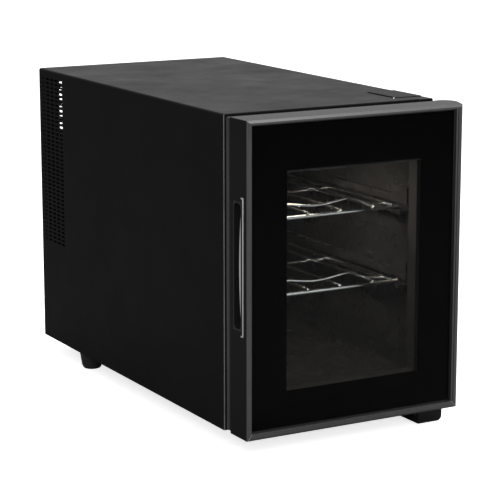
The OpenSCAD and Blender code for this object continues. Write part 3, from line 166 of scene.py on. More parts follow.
class Finish:
    """A node material on Object coordinates, built up step by step."""

    def __init__(self, name, colour, roughness=0.5, metallic=0.0, specular=0.5, **sockets):
        self.mat = bpy.data.materials.new(name)
        self.mat.use_nodes = True
        self.nodes = self.mat.node_tree.nodes
        self.links = self.mat.node_tree.links
        self.shader = self.nodes["Principled BSDF"]
        self.colour = tuple(colour)
        self.set("Base Color", (*colour, 1.0))
        self.set("Roughness", roughness)
        self.set("Metallic", metallic)
        self.set("Specular IOR Level", specular)
        for key, value in sockets.items():
            self.set(key.replace("_", " "), value)
        self.coords = self.nodes.new("ShaderNodeTexCoord").outputs["Object"]
        self.heights = None
        self.last = self.colour
        self.mat.diffuse_color = (*colour, 1.0)

    def set(self, socket, value):
        self.shader.inputs[socket].default_value = value

    def node(self, kind, inputs=(), **options):
        made = self.nodes.new("ShaderNode" + kind)
        for key, value in options.items():
            setattr(made, key, value)
        for key, value in dict(inputs).items():
            if hasattr(value, "is_output"):
                self.links.new(value, made.inputs[key])
            else:
                made.inputs[key].default_value = value
        return made

    def stretch(self, scale):
        """Coordinates stretched by a scale on each axis."""
        return self.node("Mapping", {"Vector": self.coords, "Scale": scale}).outputs[0]

    def noise(self, scale, detail=3.0, rough=0.55, coords=None, distortion=0.0):
        return self.node("TexNoise", {
            "Vector": coords or self.coords, "Scale": scale, "Detail": detail,
            "Roughness": rough, "Distortion": distortion}).outputs["Fac"]

    def cells(self, scale):
        return self.node("TexVoronoi", {"Vector": self.coords, "Scale": scale}).outputs["Distance"]

    def math(self, operation, a, b=0.0):
        return self.node("Math", {0: a, 1: b}, operation=operation).outputs[0]

    def product(self, *factors):
        """All factors multiplied, from left to right."""
        total = factors[0]
        for factor in factors[1:]:
            total = self.math("MULTIPLY", total, factor)
        return total

    def axes(self):
        """The X, Y and Z outputs of the coordinates."""
        return self.node("SeparateXYZ", {0: self.coords}).outputs

    def band(self, value, low, high, soft):
        """1 where value lies between low and high, with soft edges."""
        up = self.node("MapRange", {"Value": value, "From Min": low - soft, "From Max": low}).outputs[0]
        down = self.node("MapRange", {"Value": value, "From Min": high, "From Max": high + soft,
                                      "To Min": 1.0, "To Max": 0.0}).outputs[0]
        return self.math("MULTIPLY", up, down)

    def remap(self, value, low, high, to_low, to_high):
        return self.node("MapRange", {"Value": value, "From Min": low, "From Max": high,
                                      "To Min": to_low, "To Max": to_high}).outputs[0]

    def inside(self, xyz, low, high):
        """1 on the frame's inner returns, just ahead of the glass."""
        x_in = self.band(xyz[0], low.x + RETURN_IN, high.x - RETURN_IN, 0.0001)
        z_in = self.band(xyz[2], low.z + RETURN_IN, high.z - RETURN_IN, 0.0001)
        near = self.remap(xyz[1], low.y + 0.0002, low.y, 0.0, 1.0)
        return self.product(x_in, z_in, near)

    def blend(self, factor, below, above):
        """Colour from below to above as factor rises; each is a colour or an output."""
        mixed = self.node("Mix", {"Factor": factor}, data_type="RGBA")
        for key, value in (("A", below), ("B", above)):
            socket = next(s for s in mixed.inputs if s.name == key and s.type == "RGBA")
            if hasattr(value, "is_output"):
                self.links.new(value, socket)
            else:
                socket.default_value = (*value, 1.0)
        self.last = next(s for s in mixed.outputs if s.type == "RGBA")
        return self.last

    def vary(self, factor, light, dark=1.0):
        """Base colour that runs from dark to light times the finish's own colour."""
        ends = [[min(c * level, 1.0) for c in self.colour] for level in (dark, light)]
        self.links.new(self.blend(factor, *ends), self.shader.inputs["Base Color"])

    def over(self, factor, colour):
        """Lays another colour over the base colour where factor is 1."""
        self.links.new(self.blend(factor, self.last, colour), self.shader.inputs["Base Color"])

    def polish(self, factor, low, high):
        """Roughness that runs from low to high with factor."""
        self.links.new(self.remap(factor, 0.25, 0.75, low, high), self.shader.inputs["Roughness"])

    def relief(self, height, strength, distance):
        """Bump on top of the bumps before it."""
        bump = self.node("Bump", {"Height": height, "Strength": strength, "Distance": distance})
        if self.heights is not None:
            self.links.new(self.heights, bump.inputs["Normal"])
        self.heights = bump.outputs[0]
        self.links.new(self.heights, self.shader.inputs["Normal"])


def textured_paint(name, colour, roughness, ior=1.1):
    """Satin black paint with a fine orange peel, faint clouding and a painted highlight along its front
    folds.
    """
    made = Finish(name, colour, roughness, IOR=ior)
    clouds = made.noise(7.0, 4.0, 0.6)
    peel = made.noise(1100.0, 3.0, 0.5)
    pits = made.cells(1500.0)
    made.vary(made.math("ADD", made.product(clouds, 0.5), made.product(peel, 0.5)), 1.16, 0.86)
    made.polish(made.noise(18.0, 5.0, 0.6), roughness - 0.05, roughness + 0.07)
    # Painted highlight: a pale line along the fold of the wrap's front edges, where the bend catches the
    # light
    lo, hi = WRAP
    half = (hi.x - lo.x) / 2
    xyz = made.axes()
    off_centre = made.math("ABSOLUTE", made.math("SUBTRACT", xyz[0], (lo.x + hi.x) / 2))
    fold_highlight = made.band(xyz[1], lo.y + 0.0001, lo.y + 0.0007, 0.0001)
    sides = made.remap(off_centre, half - 0.0014, half - 0.0010, 0.0, 1.0)
    # The clouding breaks up the painted highlight along the folds
    highlight_breakup = made.remap(clouds, 0.35, 0.6, 0.6, 1.0)
    made.over(made.product(fold_highlight, sides, highlight_breakup), (0.16, 0.16, 0.16))
    made.relief(peel, 0.22, 0.00006)
    made.relief(pits, 0.10, 0.00004)
    return made.mat


def moulded_plastic(name, colour, roughness=0.5, ior=1.18, grain=900.0):
    """Injection-moulded plastic: spark-eroded grain, faint flow marks."""
    made = Finish(name, colour, roughness, IOR=ior)
    flow = made.noise(9.0, 3.0, 0.5, distortion=1.5)
    made.vary(flow, 1.3, 0.8)
    made.polish(made.noise(60.0, 4.0, 0.6), roughness - 0.07, roughness + 0.07)
    made.relief(made.cells(grain), 0.18, 0.00008)
    made.relief(made.noise(grain * 1.7, 2.0), 0.12, 0.00004)
    return made.mat


def formed_sheet(name, colour, roughness, ior):
    """Vacuum-formed lining: smooth, with a soft orange peel."""
    made = Finish(name, colour, roughness, IOR=ior)
    made.vary(made.noise(6.0, 2.0), 1.1, 0.92)
    made.polish(made.noise(30.0, 3.0), roughness - 0.04, roughness + 0.05)
    made.relief(made.noise(220.0, 2.0), 0.08, 0.00006)
    return made.mat


def gloss_plastic(name, colour, roughness=0.22, ior=1.3):
    """Glossy plastic with soft waviness and fine rub marks."""
    made = Finish(name, colour, roughness, IOR=ior)
    made.vary(made.noise(14.0, 3.0), 1.25, 0.85)
    rubs = made.noise(1.0, 5.0, 0.7, made.stretch((900.0, 60.0, 900.0)))
    made.polish(rubs, roughness - 0.04, roughness + 0.08)
    made.relief(made.noise(45.0, 2.0), 0.10, 0.0002)
    return made.mat


def plated_metal(name, colour, roughness=0.11):
    """Bright plating with tiny waviness and a few dull spots."""
    made = Finish(name, colour, roughness, metallic=1.0)
    made.vary(made.noise(50.0, 3.0), 1.08, 0.90)
    made.polish(made.noise(240.0, 5.0, 0.7), roughness - 0.05, roughness + 0.09)
    made.relief(made.noise(160.0, 2.0), 0.06, 0.0001)
    return made.mat


def screw_metal(name, colour):
    """Zinc-plated screws: turned rings and a slightly mottled plating."""
    made = Finish(name, colour, 0.32, metallic=1.0)
    made.vary(made.noise(420.0, 4.0, 0.65), 1.15, 0.7)
    made.polish(made.noise(900.0, 3.0), 0.24, 0.42)
    made.relief(made.cells(2200.0), 0.10, 0.00003)
    return made.mat


def extruded_metal(name, colour, along=(0, 0, 1), roughness=0.36):
    """Extruded aluminium: drawn lines along the extrusion."""
    made = Finish(name, colour, roughness, metallic=1.0)
    scale = [900.0 if not a else 14.0 for a in along]
    lines = made.noise(1.0, 4.0, 0.6, made.stretch(scale))
    made.vary(lines, 1.12, 0.82)
    made.polish(lines, roughness - 0.08, roughness + 0.1)
    made.relief(lines, 0.15, 0.00004)
    return made.mat


def galvanised_sheet(name, colour):
    """Galvanised steel with its spangle."""
    made = Finish(name, colour, 0.4, metallic=1.0)
    spangle = made.node("TexVoronoi", {"Vector": made.coords, "Scale": 90.0}).outputs["Color"]
    tone = made.node("SeparateColor", {0: spangle}).outputs[0]
    made.vary(tone, 1.15, 0.75)
    made.polish(tone, 0.3, 0.5)
    made.relief(made.noise(700.0, 3.0), 0.08, 0.00004)
    return made.mat


def poured_foam(name, colour):
    """Rigid polyurethane foam: open cut cells and darker streaks."""
    made = Finish(name, colour, 0.9, specular=0.2)
    cells = made.cells(520.0)
    made.vary(cells, 1.15, 0.62)
    made.over(made.remap(made.noise(16.0, 4.0), 0.55, 0.75, 0.0, 0.4), (0.55, 0.42, 0.20))
    # Painted shade: the foam's top is made near black where it shows through the slot in the top, so the slot
    # reads dark
    top = WRAP[1].z - 0.004
    slot_shade = made.remap(made.axes()[2], top, top + 0.0005, 0.0, 1.0)
    made.over(slot_shade, (0.006, 0.006, 0.006))
    made.relief(cells, 0.5, 0.0004)
    return made.mat


def soft_rubber(name, colour, roughness=0.62):
    """Soft rubber with a dry bloom."""
    made = Finish(name, colour, roughness, specular=0.3)
    made.vary(made.noise(30.0, 5.0, 0.65), 1.7, 0.8)
    made.polish(made.noise(80.0, 3.0), roughness - 0.08, roughness + 0.1)
    made.relief(made.noise(1400.0, 2.0), 0.15, 0.00005)
    return made.mat


def printed_board(name, colour):
    """Solder mask over copper tracks, with pads."""
    made = Finish(name, colour, 0.3)
    tracks = made.node("TexBrick", {
        "Vector": made.coords, "Scale": 130.0, "Mortar Size": 0.05, "Brick Width": 0.9,
        "Row Height": 0.22, "Color1": (0, 0, 0, 1), "Color2": (0.2, 0.2, 0.2, 1), "Mortar": (1, 1, 1, 1)})
    tone = made.node("SeparateColor", {0: tracks.outputs["Color"]}).outputs[0]
    made.vary(tone, 2.1, 0.8)
    pads = made.remap(made.cells(260.0), 0.0, 0.16, 1.0, 0.0)
    made.over(made.product(pads, 0.8), (0.62, 0.60, 0.52))
    made.relief(tone, 0.2, 0.00005)
    return made.mat


def braided_sleeve(name, colour):
    """Insulated wires bundled side by side."""
    made = Finish(name, colour, 0.4)
    strands = made.node("TexWave", {"Vector": made.stretch((420.0, 420.0, 90.0)), "Scale": 1.0,
                                    "Distortion": 1.0, "Detail": 1.0}).outputs["Fac"]
    made.vary(strands, 1.4, 0.45)
    made.relief(strands, 0.5, 0.0005)
    return made.mat


def fired_ceramic(name, colour):
    """White fired ceramic, faintly speckled."""
    made = Finish(name, colour, 0.55, specular=0.4)
    made.vary(made.noise(600.0, 4.0, 0.7), 1.05, 0.88)
    made.relief(made.noise(900.0, 3.0), 0.15, 0.00004)
    return made.mat


def frosted_diffuser(name, colour):
    """Frosted lamp lens with fine prisms, lit from behind."""
    made = Finish(name, colour)
    made.set("Emission Color", (1.0, 0.83, 0.6, 1.0))
    made.set("Emission Strength", 0.9)
    prisms = made.node("TexWave", {"Vector": made.coords, "Scale": 260.0}).outputs["Fac"]
    made.vary(prisms, 1.1, 0.85)
    made.relief(prisms, 0.3, 0.0002)
    return made.mat


def pane(name, tint, ior):
    """Float glass with the faintest waviness."""
    made = Finish(name, tint, 0.0, IOR=ior)
    made.set("Transmission Weight", 1.0)
    made.vary(made.noise(5.0, 2.0), 1.02, 0.98)
    made.relief(made.noise(6.0, 1.0), 0.02, 0.0004)
    return made.mat


def fired_print(name):
    """Black enamel fired onto the back of the pane."""
    made = Finish(name, (0.0064, 0.0064, 0.0065), 0.12, IOR=1.1)
    made.vary(made.noise(20.0, 3.0), 1.4, 0.8)
    made.polish(made.noise(140.0, 4.0), 0.08, 0.18)
    made.relief(made.noise(30.0, 2.0), 0.05, 0.0002)
    return made.mat


def door_metal(name, colour, trim):
    """Satin black frame with lighter front edges and a painted highlight along the mitre at each lower
    corner.
    """
    made = Finish(name, colour, 0.34, IOR=1.12)
    lo, hi = DOOR
    glass_lo, glass_hi = GLASS
    xyz = made.axes()
    drawn = made.noise(1.0, 4.0, 0.6, made.stretch((700.0, 700.0, 40.0)))
    grain = made.noise(1100.0, 3.0)
    made.vary(grain, 1.3, 0.75)
    satin = made.last
    # Front faces and bevels, ahead of the glass
    front = made.remap(xyz[1], lo.y + 0.0029, lo.y + 0.0024, 0.0, 1.0)
    front = made.math("MAXIMUM", front, made.inside(xyz, glass_lo, glass_hi))
    tone = made.blend(drawn, [c * 0.82 for c in trim], [c * 1.18 for c in trim])
    made.last = satin
    made.over(front, tone)
    made.links.new(made.product(front, 0.9), made.shader.inputs["Metallic"])
    # Painted highlight: bright lines along the mitres at the lower corners, which run from the frame's corner
    # to the glass opening's corner
    for x, side, lip in ((glass_lo.x, 1.0, THIN_LIP), (glass_hi.x, -1.0, HINGE_LIP)):
        along = made.product(made.math("SUBTRACT", xyz[0], x - side * 0.0025), side)
        up = made.product(made.math("SUBTRACT", xyz[2], lo.z), lip / LOW_LIP)
        mitre_highlight = made.band(made.math("SUBTRACT", along, up), -0.00016, 0.00016, 0.00012)
        low = made.remap(xyz[2], lo.z + LOW_LIP, lo.z + LOW_LIP + 0.0002, 1.0, 0.0)
        made.over(made.product(mitre_highlight, low, front), (0.62, 0.62, 0.62))
    made.polish(drawn, 0.26, 0.4)
    made.relief(drawn, 0.08, 0.00003)
    made.relief(grain, 0.12, 0.00004)
    return made.mat


def studio_floor(name, colour):
    """Pale seamless paper, which throws only a part of its light back at the object."""
    made = Finish(name, colour, 0.95, specular=0.0)
    made.vary(made.noise(3.0, 2.0), 1.01, 0.99)
    direct = made.nodes.new("ShaderNodeLightPath").outputs["Is Camera Ray"]
    made.over(made.remap(direct, 0.0, 1.0, 1.0, 0.0), [c * 0.3 for c in colour])
    made.set("Emission Color", (1.0, 1.0, 1.0, 1.0))
    made.links.new(made.product(direct, 0.75), made.shader.inputs["Emission Strength"])
    made.relief(made.noise(400.0, 2.0), 0.02, 0.0002)
    return made.mat


# ---------------------------------------------------------------- shaping


def keep(name, bm, body, material, slot, *nodes, smooth=35.0):
    """Makes a bmesh a piece that rides on a body and stands for the named sub-parts."""
    bmesh.ops.remove_doubles(bm, verts=bm.verts[:], dist=1e-6)
    bmesh.ops.recalc_face_normals(bm, faces=bm.faces[:])
    mesh = bpy.data.meshes.new(name)
    bm.to_mesh(mesh)
    bm.free()
    made = bpy.data.objects.new(name, mesh)
    bpy.context.scene.collection.objects.link(made)
    mesh.materials.append(material)
    for face in mesh.polygons:
        face.use_smooth = True
    mesh.set_sharp_from_angle(angle=math.radians(smooth))
    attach(made, body)
    if nodes:
        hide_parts(*nodes)
    return made


def dress(material, *nodes):
    """Gives frame nodes a finish."""
    for name in nodes:
        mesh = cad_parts[name].data
        mesh.materials.clear()
        mesh.materials.append(material)


def rounded_path(points, bend, steps=7):
    """The points of a path whose inner corners are rounded to about the bend radius."""
    points = [Vector(p) for p in points]
    path = [points[0]]
    for before, here, after in zip(points, points[1:], points[2:]):
        to_before, to_after = before - here, after - here
        reach = min(bend, to_before.length * 0.48, to_after.length * 0.48)
        start, end = here + to_before.normalized() * reach, here + to_after.normalized() * reach
        for k in range(steps + 1):
            t = k / steps
            path.append(start * (1 - t) ** 2 + here * 2 * t * (1 - t) + end * t ** 2)
    path.append(points[-1])
    return path


def add_skin(bm, rings):
    """Joins rings of vertices one to the next and closes both ends."""
    loops = [list({e for v in ring for e in v.link_edges}) for ring in rings]
    for a, b in zip(loops, loops[1:]):
        bmesh.ops.bridge_loops(bm, edges=a + b)
    for ring in (rings[0], rings[-1]):
        bmesh.ops.contextual_create(bm, geom=list(ring))


def add_wire(bm, points, radius, bend=0.006, segments=16):
    """Adds a round wire along a path: a circle extruded from point to point, with domed ends."""
    path = rounded_path(points, bend)
    first = (path[1] - path[0]).normalized()
    side = first.cross(Vector((0, 0, 1)))
    side = side.normalized() if side.length > 0.1 else Vector((1, 0, 0))
    rings = []
    ends = len(path) - 1
    places = [(path[0], k) for k in (0.35, 0.8)] + [(p, 1.0) for p in path]
    places += [(path[-1], k) for k in (0.8, 0.35)]
    for i, (point, scale) in enumerate(places):
        j = min(max(i - 2, 0), ends)
        ahead = (path[min(j + 1, ends)] - path[max(j - 1, 0)]).normalized()
        side = (side - ahead * side.dot(ahead)).normalized()
        up = ahead.cross(side)
        turn = Matrix((side, up, ahead)).transposed().to_4x4()
        out = radius * (1 - scale) * 0.8
        place = point + ahead * (out if i >= 2 + ends else -out if i < 2 else 0.0)
        ring = bmesh.ops.create_circle(bm, segments=segments, radius=radius * scale,
                                       matrix=Matrix.Translation(place) @ turn)["verts"]
        rings.append(ring)
    add_skin(bm, rings)


def add_block(bm, low, high, edge=0.0, segments=2):
    """Adds a block between two corners, with its edges rounded."""
    low, high = Vector(low), Vector(high)
    place = Matrix.Translation((low + high) / 2) @ Matrix.Diagonal((*(high - low), 1.0))
    made = bmesh.ops.create_cube(bm, size=1.0, matrix=place)["verts"]
    if edge:
        edges = list({e for v in made for e in v.link_edges})
        bmesh.ops.bevel(bm, geom=edges, offset=edge, segments=segments, profile=0.5,
                        affect="EDGES", material=-1, clamp_overlap=True)


# ---------------------------------------------------------------- operators


class WINECOOLER_OT_cabinet(bpy.types.Operator):
    """Finish the cabinet, its grilles, its covers and its hinges"""

    bl_idname = "wine_cooler.cabinet"
    bl_label = "Cabinet"

    def execute(self, context):
        size = context.scene.wine_cabinet
        paint = textured_paint("satin_black_paint", size.paint, size.paint_roughness)
        plastic = moulded_plastic("black_moulding", size.plastic)
        dress(paint, "outer_wrap", "left_vent_grille", "right_vent_grille", "base_pan",
              "hinge_cover", "upper_hinge", "lower_hinge")
        dress(plastic, "rear_cover", "front_collar", "board_tray", "power_inlet")
        dress(screw_metal("zinc_screws", (0.42, 0.42, 0.43)), "rear_cover_screws", "upper_hinge_screws",
              "foot_screws", "lower_hinge_screws", "stack_screws", "hot_fan_screws")
        dress(plated_metal("washer_metal", (0.6, 0.6, 0.6), 0.2), "hinge_washer")
        dress(galvanised_sheet("galvanised_bulkhead", (0.42, 0.43, 0.45)), "rear_bulkhead")
        dress(poured_foam("cabinet_foam", (0.55, 0.45, 0.24)), "insulation_foam")
        return {"FINISHED"}


class WINECOOLER_OT_cabin(bpy.types.Operator):
    """Finish the cabin: liner, air cover, control housing, lamp, knob and switch"""

    bl_idname = "wine_cooler.cabin"
    bl_label = "Cabin"

    def execute(self, context):
        size = context.scene.wine_cabinet
        dress(formed_sheet("cabin_liner_plastic", size.liner, 0.27, 1.3), "cabin_liner")
        cover = moulded_plastic("cabin_cover_plastic", (0.02, 0.02, 0.021), 0.45)
        dress(cover, "air_cover", "control_housing")
        dress(frosted_diffuser("lamp_diffuser", (0.85, 0.80, 0.70)), "lamp_lens")
        dress(printed_board("lamp_board", (0.70, 0.70, 0.66)), "led_board")
        dress(moulded_plastic("knob_grey", (0.42, 0.42, 0.43), 0.4), "thermostat_knob")
        dress(moulded_plastic("thermostat_case", (0.02, 0.035, 0.09), 0.45), "thermostat_body")
        dress(gloss_plastic("rocker_black", (0.012, 0.012, 0.013)), "light_switch_rocker")
        dress(moulded_plastic("sensor_case", (0.5, 0.5, 0.5), 0.4), "temperature_sensor")
        return {"FINISHED"}


class WINECOOLER_OT_module(bpy.types.Operator):
    """Finish the cooling module, both fans, the board and the wiring"""

    bl_idname = "wine_cooler.module"
    bl_label = "Cooling module"

    def execute(self, context):
        dress(extruded_metal("sink_aluminium", (0.56, 0.57, 0.59)), "cold_sink", "hot_sink")
        dress(extruded_metal("block_aluminium", (0.60, 0.61, 0.62), (0, 1, 0), 0.3), "cold_block")
        dress(fired_ceramic("module_ceramic", (0.78, 0.77, 0.73)), "thermoelectric_module")
        dress(soft_rubber("module_gasket_rubber", (0.03, 0.03, 0.03)), "module_gasket")
        fan_frame = moulded_plastic("fan_frame_plastic", (0.015, 0.015, 0.016), 0.45)
        fan_blade = gloss_plastic("fan_blade_plastic", (0.02, 0.02, 0.021), 0.3)
        dress(fan_frame, "cold_fan_frame", "hot_fan_frame")
        dress(fan_blade, "cold_fan_rotor", "hot_fan_rotor")
        dress(printed_board("power_board_mask", (0.008, 0.10, 0.035)), "power_board")
        dress(braided_sleeve("harness_sleeve", (0.22, 0.012, 0.012)), "wiring_harness")
        return {"FINISHED"}


class WINECOOLER_OT_shelves(bpy.types.Operator):
    """Build both wire shelves from round plated wire"""

    bl_idname = "wine_cooler.shelves"
    bl_label = "Wire shelves"

    def execute(self, context):
        size = context.scene.wine_shelves
        chrome = plated_metal("shelf_chrome", size.chrome, 0.14)
        for node, body in (("upper_shelf", "upper_shelf_slide"), ("lower_shelf", "lower_shelf_slide")):
            lo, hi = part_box(node)
            mid = (lo.x + hi.x) / 2
            half = (hi.x - lo.x) / 2
            z = lo.z + size.cross_bar
            front, rear = lo.y + 0.003, hi.y - 0.003
            outer = half - size.outer_in
            lift = z + size.cross_bar + size.long_wire - 0.0003
            bm = bmesh.new()
            for y in (front, (front + rear) / 2, rear):
                bar = [(mid - half + 0.0005, y, z), (mid + half - 0.0005, y, z)]
                add_wire(bm, bar, size.cross_bar, segments=20)
            cradles = [s * size.pitch / 2 + t * size.cradle for s in (-1, 1) for t in (-1, 1)]
            across = [-outer, outer] + cradles
            for x in across:
                add_wire(bm, [(mid + x, lo.y + 0.0004, lift), (mid + x, hi.y - 0.0004, lift)], size.long_wire)
            # Neck wire, mirrored about the middle
            y, m = front + size.neck_back, size.pitch / 2
            low_end = lift - 0.001
            right = [(0.008, z + size.dip), (m - 0.005, z + size.hump), (m + 0.004, z + size.hump),
                     (m + 0.026, low_end), (outer + 0.0024, low_end)]
            points = [(mid - a, y, b) for a, b in reversed(right)] + [(mid + a, y, b) for a, b in right]
            add_wire(bm, points, size.long_wire - 0.0002, 0.012)
            stop = outer - 0.004
            add_wire(bm, [(mid - stop, rear, z), (mid - stop, rear, z + 0.016), (mid + stop, rear, z + 0.016),
                          (mid + stop, rear, z)], size.long_wire - 0.0001, 0.006)
            keep(node + "_wires", bm, body, chrome, "chrome", node, smooth=50.0)
        return {"FINISHED"}


class WINECOOLER_OT_feet(bpy.types.Operator):
    """Turn the ribbed feet"""

    bl_idname = "wine_cooler.feet"
    bl_label = "Feet"

    def execute(self, context):
        size = context.scene.wine_feet
        rubber = gloss_plastic("foot_plastic", size.rubber, 0.3)
        for node in ("rear_left_foot", "rear_right_foot", "front_left_foot"):
            lo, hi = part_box(node)
            axis = Vector(((lo.x + hi.x) / 2, (lo.y + hi.y) / 2, 0.0))
            top, r_top = hi.z, (hi.x - lo.x) / 2 - size.rib_height
            r_low = r_top * 0.79
            # Screw hole, flat tread, rounded shoulder, flared side and rim
            hole = 0.0046
            profile = [(hole, 0.0), (r_low - 0.003, 0.0), (r_low - 0.0016, 0.0005),
                       (r_low - 0.0005, 0.0016), (r_low, 0.0032), (r_low + 0.0003, 0.0042),
                       (r_top - 0.0010, top - 0.0052), (r_top - 0.0004, top - 0.0036),
                       (r_top, top - 0.0028), (r_top, top), (hole, top), (hole, top - 0.006)]
            bm = bmesh.new()
            ring = [bm.verts.new(axis + Vector((r, 0, z))) for r, z in profile]
            edges = [bm.edges.new(pair) for pair in zip(ring, ring[1:] + ring[:1])]
            bmesh.ops.spin(bm, geom=ring + edges, cent=axis, axis=(0, 0, 1), angle=math.tau,
                           steps=size.ribs * 6, use_merge=True, use_duplicate=False)
            for v in bm.verts:
                out = (v.co - axis) * Vector((1, 1, 0))
                if 0.0035 < v.co.z < top - 0.0045 and out.length > 0.006:
                    wave = max(0.0, math.cos(size.ribs * math.atan2(out.y, out.x))) ** 0.7
                    v.co += out.normalized() * size.rib_height * wave
            keep(node + "_ribbed", bm, "cabinet", rubber, "foot_plastic", node)
        return {"FINISHED"}


class WINECOOLER_OT_fittings(bpy.types.Operator):
    """Build the block below the lower hinge and the screw in the hinge cover's groove"""

    bl_idname = "wine_cooler.fittings"
    bl_label = "Fittings"

    def execute(self, context):
        lo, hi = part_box("lower_hinge_foot")
        bm = bmesh.new()
        add_block(bm, lo, hi)
        low_right = [e for e in bm.edges
                     if all(abs(v.co.x - hi.x) < 1e-5 and abs(v.co.z - lo.z) < 1e-5 for v in e.verts)]
        bmesh.ops.bevel(bm, geom=low_right, offset=0.006, segments=8, profile=0.5,
                        affect="EDGES", material=-1)
        sharp = [e for e in bm.edges
                 if len(e.link_faces) == 2 and e.calc_face_angle() > math.radians(60)]
        bmesh.ops.bevel(bm, geom=sharp, offset=0.0008, segments=3, profile=0.5,
                        affect="EDGES", material=-1)
        gloss = gloss_plastic("foot_block_gloss", (0.010, 0.010, 0.0105), 0.2)
        keep("lower_hinge_block", bm, "cabinet", gloss, "black_plastic", "lower_hinge_foot")

        cap_lo, cap_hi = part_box("hinge_cover")
        axis = Vector((cap_lo.x - 0.0016, cap_lo.y + 0.0017, 0.0))
        top = WRAP[1].z
        profile = [(0.0, top - 0.0003), (0.0004, top - 0.0002), (0.0005, top + 0.0002), (0.0010, top),
                   (0.0014, top - 0.0006), (0.0014, top - 0.0020), (0.0, top - 0.0020)]
        bm = bmesh.new()
        ring = [bm.verts.new(axis + Vector((r, 0, z))) for r, z in profile]
        edges = [bm.edges.new(pair) for pair in zip(ring, ring[1:])]
        bmesh.ops.spin(bm, geom=ring + edges, cent=axis, axis=(0, 0, 1), angle=math.tau,
                       steps=32, use_merge=True)
        screw = plated_metal("groove_screw_chrome", (0.7, 0.7, 0.7))
        keep("groove_screw", bm, "cabinet", screw, "screw_steel")
        return {"FINISHED"}


class WINECOOLER_OT_door(bpy.types.Operator):
    """Finish the door and build its bead, its grip and its strip"""

    bl_idname = "wine_cooler.door"
    bl_label = "Door"

    def execute(self, context):
        size = context.scene.wine_door
        metal = door_metal("anodised_frame", size.metal, size.trim)
        chrome = plated_metal("handle_chrome", (0.93, 0.93, 0.94), 0.34)
        dress(metal, "door_frame")
        dress(pane("outer_pane_glass", size.tint, 1.2), "door_glass")
        dress(pane("inner_pane_glass", (0.93, 0.95, 0.94), 1.08), "inner_glass")
        dress(fired_print("black_enamel"), "glass_print")
        dress(soft_rubber("spacer_black", (0.012, 0.012, 0.0125), 0.5), "pane_spacer")
        dress(poured_foam("door_foam_fill", (0.55, 0.45, 0.24)), "door_foam")
        dress(moulded_plastic("back_plate_plastic", (0.016, 0.016, 0.017), 0.4), "door_back_plate")
        dress(soft_rubber("seal_rubber_black", (0.010, 0.010, 0.0105)), "door_seal")
        dress(gloss_plastic("pocket_plastic", (0.008, 0.008, 0.0085), 0.18), "handle_pocket")
        acetal = moulded_plastic("bush_acetal", (0.62, 0.60, 0.55), 0.35)
        dress(acetal, "upper_hinge_bush", "lower_hinge_bush")
        dress(screw_metal("door_screws", (0.30, 0.30, 0.31)), "back_plate_screws")

        # Bead between the frame and the glass
        glass_lo, glass_hi = GLASS
        low = Vector((glass_lo.x + 0.0016, 0, glass_lo.z + 0.0051))
        high = Vector((glass_hi.x - 0.0061, 0, glass_hi.z - 0.0016))
        back, front, w = glass_lo.y - 0.00005, glass_lo.y - 0.0009, size.bead
        bm = bmesh.new()
        add_block(bm, (low.x, front, low.z), (low.x + w, back, high.z), 0.0003)
        add_block(bm, (high.x - w, front, low.z), (high.x, back, high.z), 0.0003)
        add_block(bm, (low.x, front, low.z), (high.x, back, low.z + w), 0.0003)
        add_block(bm, (low.x, front, high.z - w), (high.x, back, high.z), 0.0003)
        rubber = soft_rubber("bead_rubber", (0.009, 0.009, 0.0095), 0.4)
        keep("glazing_bead", bm, "door", rubber, "seal_rubber")

        # Soft lip behind the door's edge, open at the hinge side
        x0, z0, z1 = DOOR[0].x + 0.0015, DOOR[0].z + 0.0015, DOOR[1].z - 0.0015
        plate_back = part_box("door_back_plate")[1].y
        y0, y1, w = plate_back - 0.0001, plate_back + 0.0070, 0.0013
        right = glass_hi.x - 0.040
        bm = bmesh.new()
        add_block(bm, (x0, y0, z0), (x0 + w, y1, z1), 0.0004)
        add_block(bm, (x0, y0, z0), (right, y1, z0 + w), 0.0004)
        add_block(bm, (x0, y0, z1 - w), (right, y1, z1), 0.0004)
        rubber = soft_rubber("lip_rubber", (0.035, 0.035, 0.036), 0.5)
        keep("door_edge_lip", bm, "door", rubber, "seal_rubber")

        # Grip: a bowed bar, straight against the pocket's front wall
        lo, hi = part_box("handle_grip")
        bm = bmesh.new()
        steps = 36
        rings = []
        mid, reach, bow = (lo.z + hi.z) / 2, (hi.z - lo.z) / 2, hi.y - lo.y
        for k in range(steps + 1):
            t = -1 + 2 * k / steps
            depth = max(bow * (1 - t * t), 0.0005)
            centre = Vector((lo.x + size.grip_depth / 2, lo.y + depth / 2, mid + reach * t))
            shape = Matrix.Diagonal((size.grip_depth / 2, depth / 2, 1.0, 1.0))
            turn = Matrix.Translation(centre) @ shape
            ring = bmesh.ops.create_circle(bm, segments=28, radius=1.0, matrix=turn)["verts"]
            for v in ring:
                off = v.co - centre
                # A circle squared off, so that the bar has flat faces and round edges
                u, w = off.x / (size.grip_depth / 2), off.y / (depth / 2)
                fat = (abs(u) ** 4 + abs(w) ** 4) ** 0.25
                v.co.x, v.co.y = centre.x + off.x / fat, centre.y + off.y / fat
            rings.append(ring)
        add_skin(bm, rings)
        keep("handle_grip_bow", bm, "door", chrome, "chrome", "handle_grip", smooth=50.0)

        # Strip with its turned-back ends
        lo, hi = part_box("handle_strip")
        w = 0.0016
        bm = bmesh.new()
        add_block(bm, lo, (hi.x, lo.y + w, hi.z), 0.00035, 3)
        for z in (lo.z, hi.z - w):
            add_block(bm, (lo.x, lo.y, z), (hi.x, hi.y, z + w), 0.00035, 3)
        keep("handle_strip_bright", bm, "door", chrome, "chrome", "handle_strip")
        return {"FINISHED"}


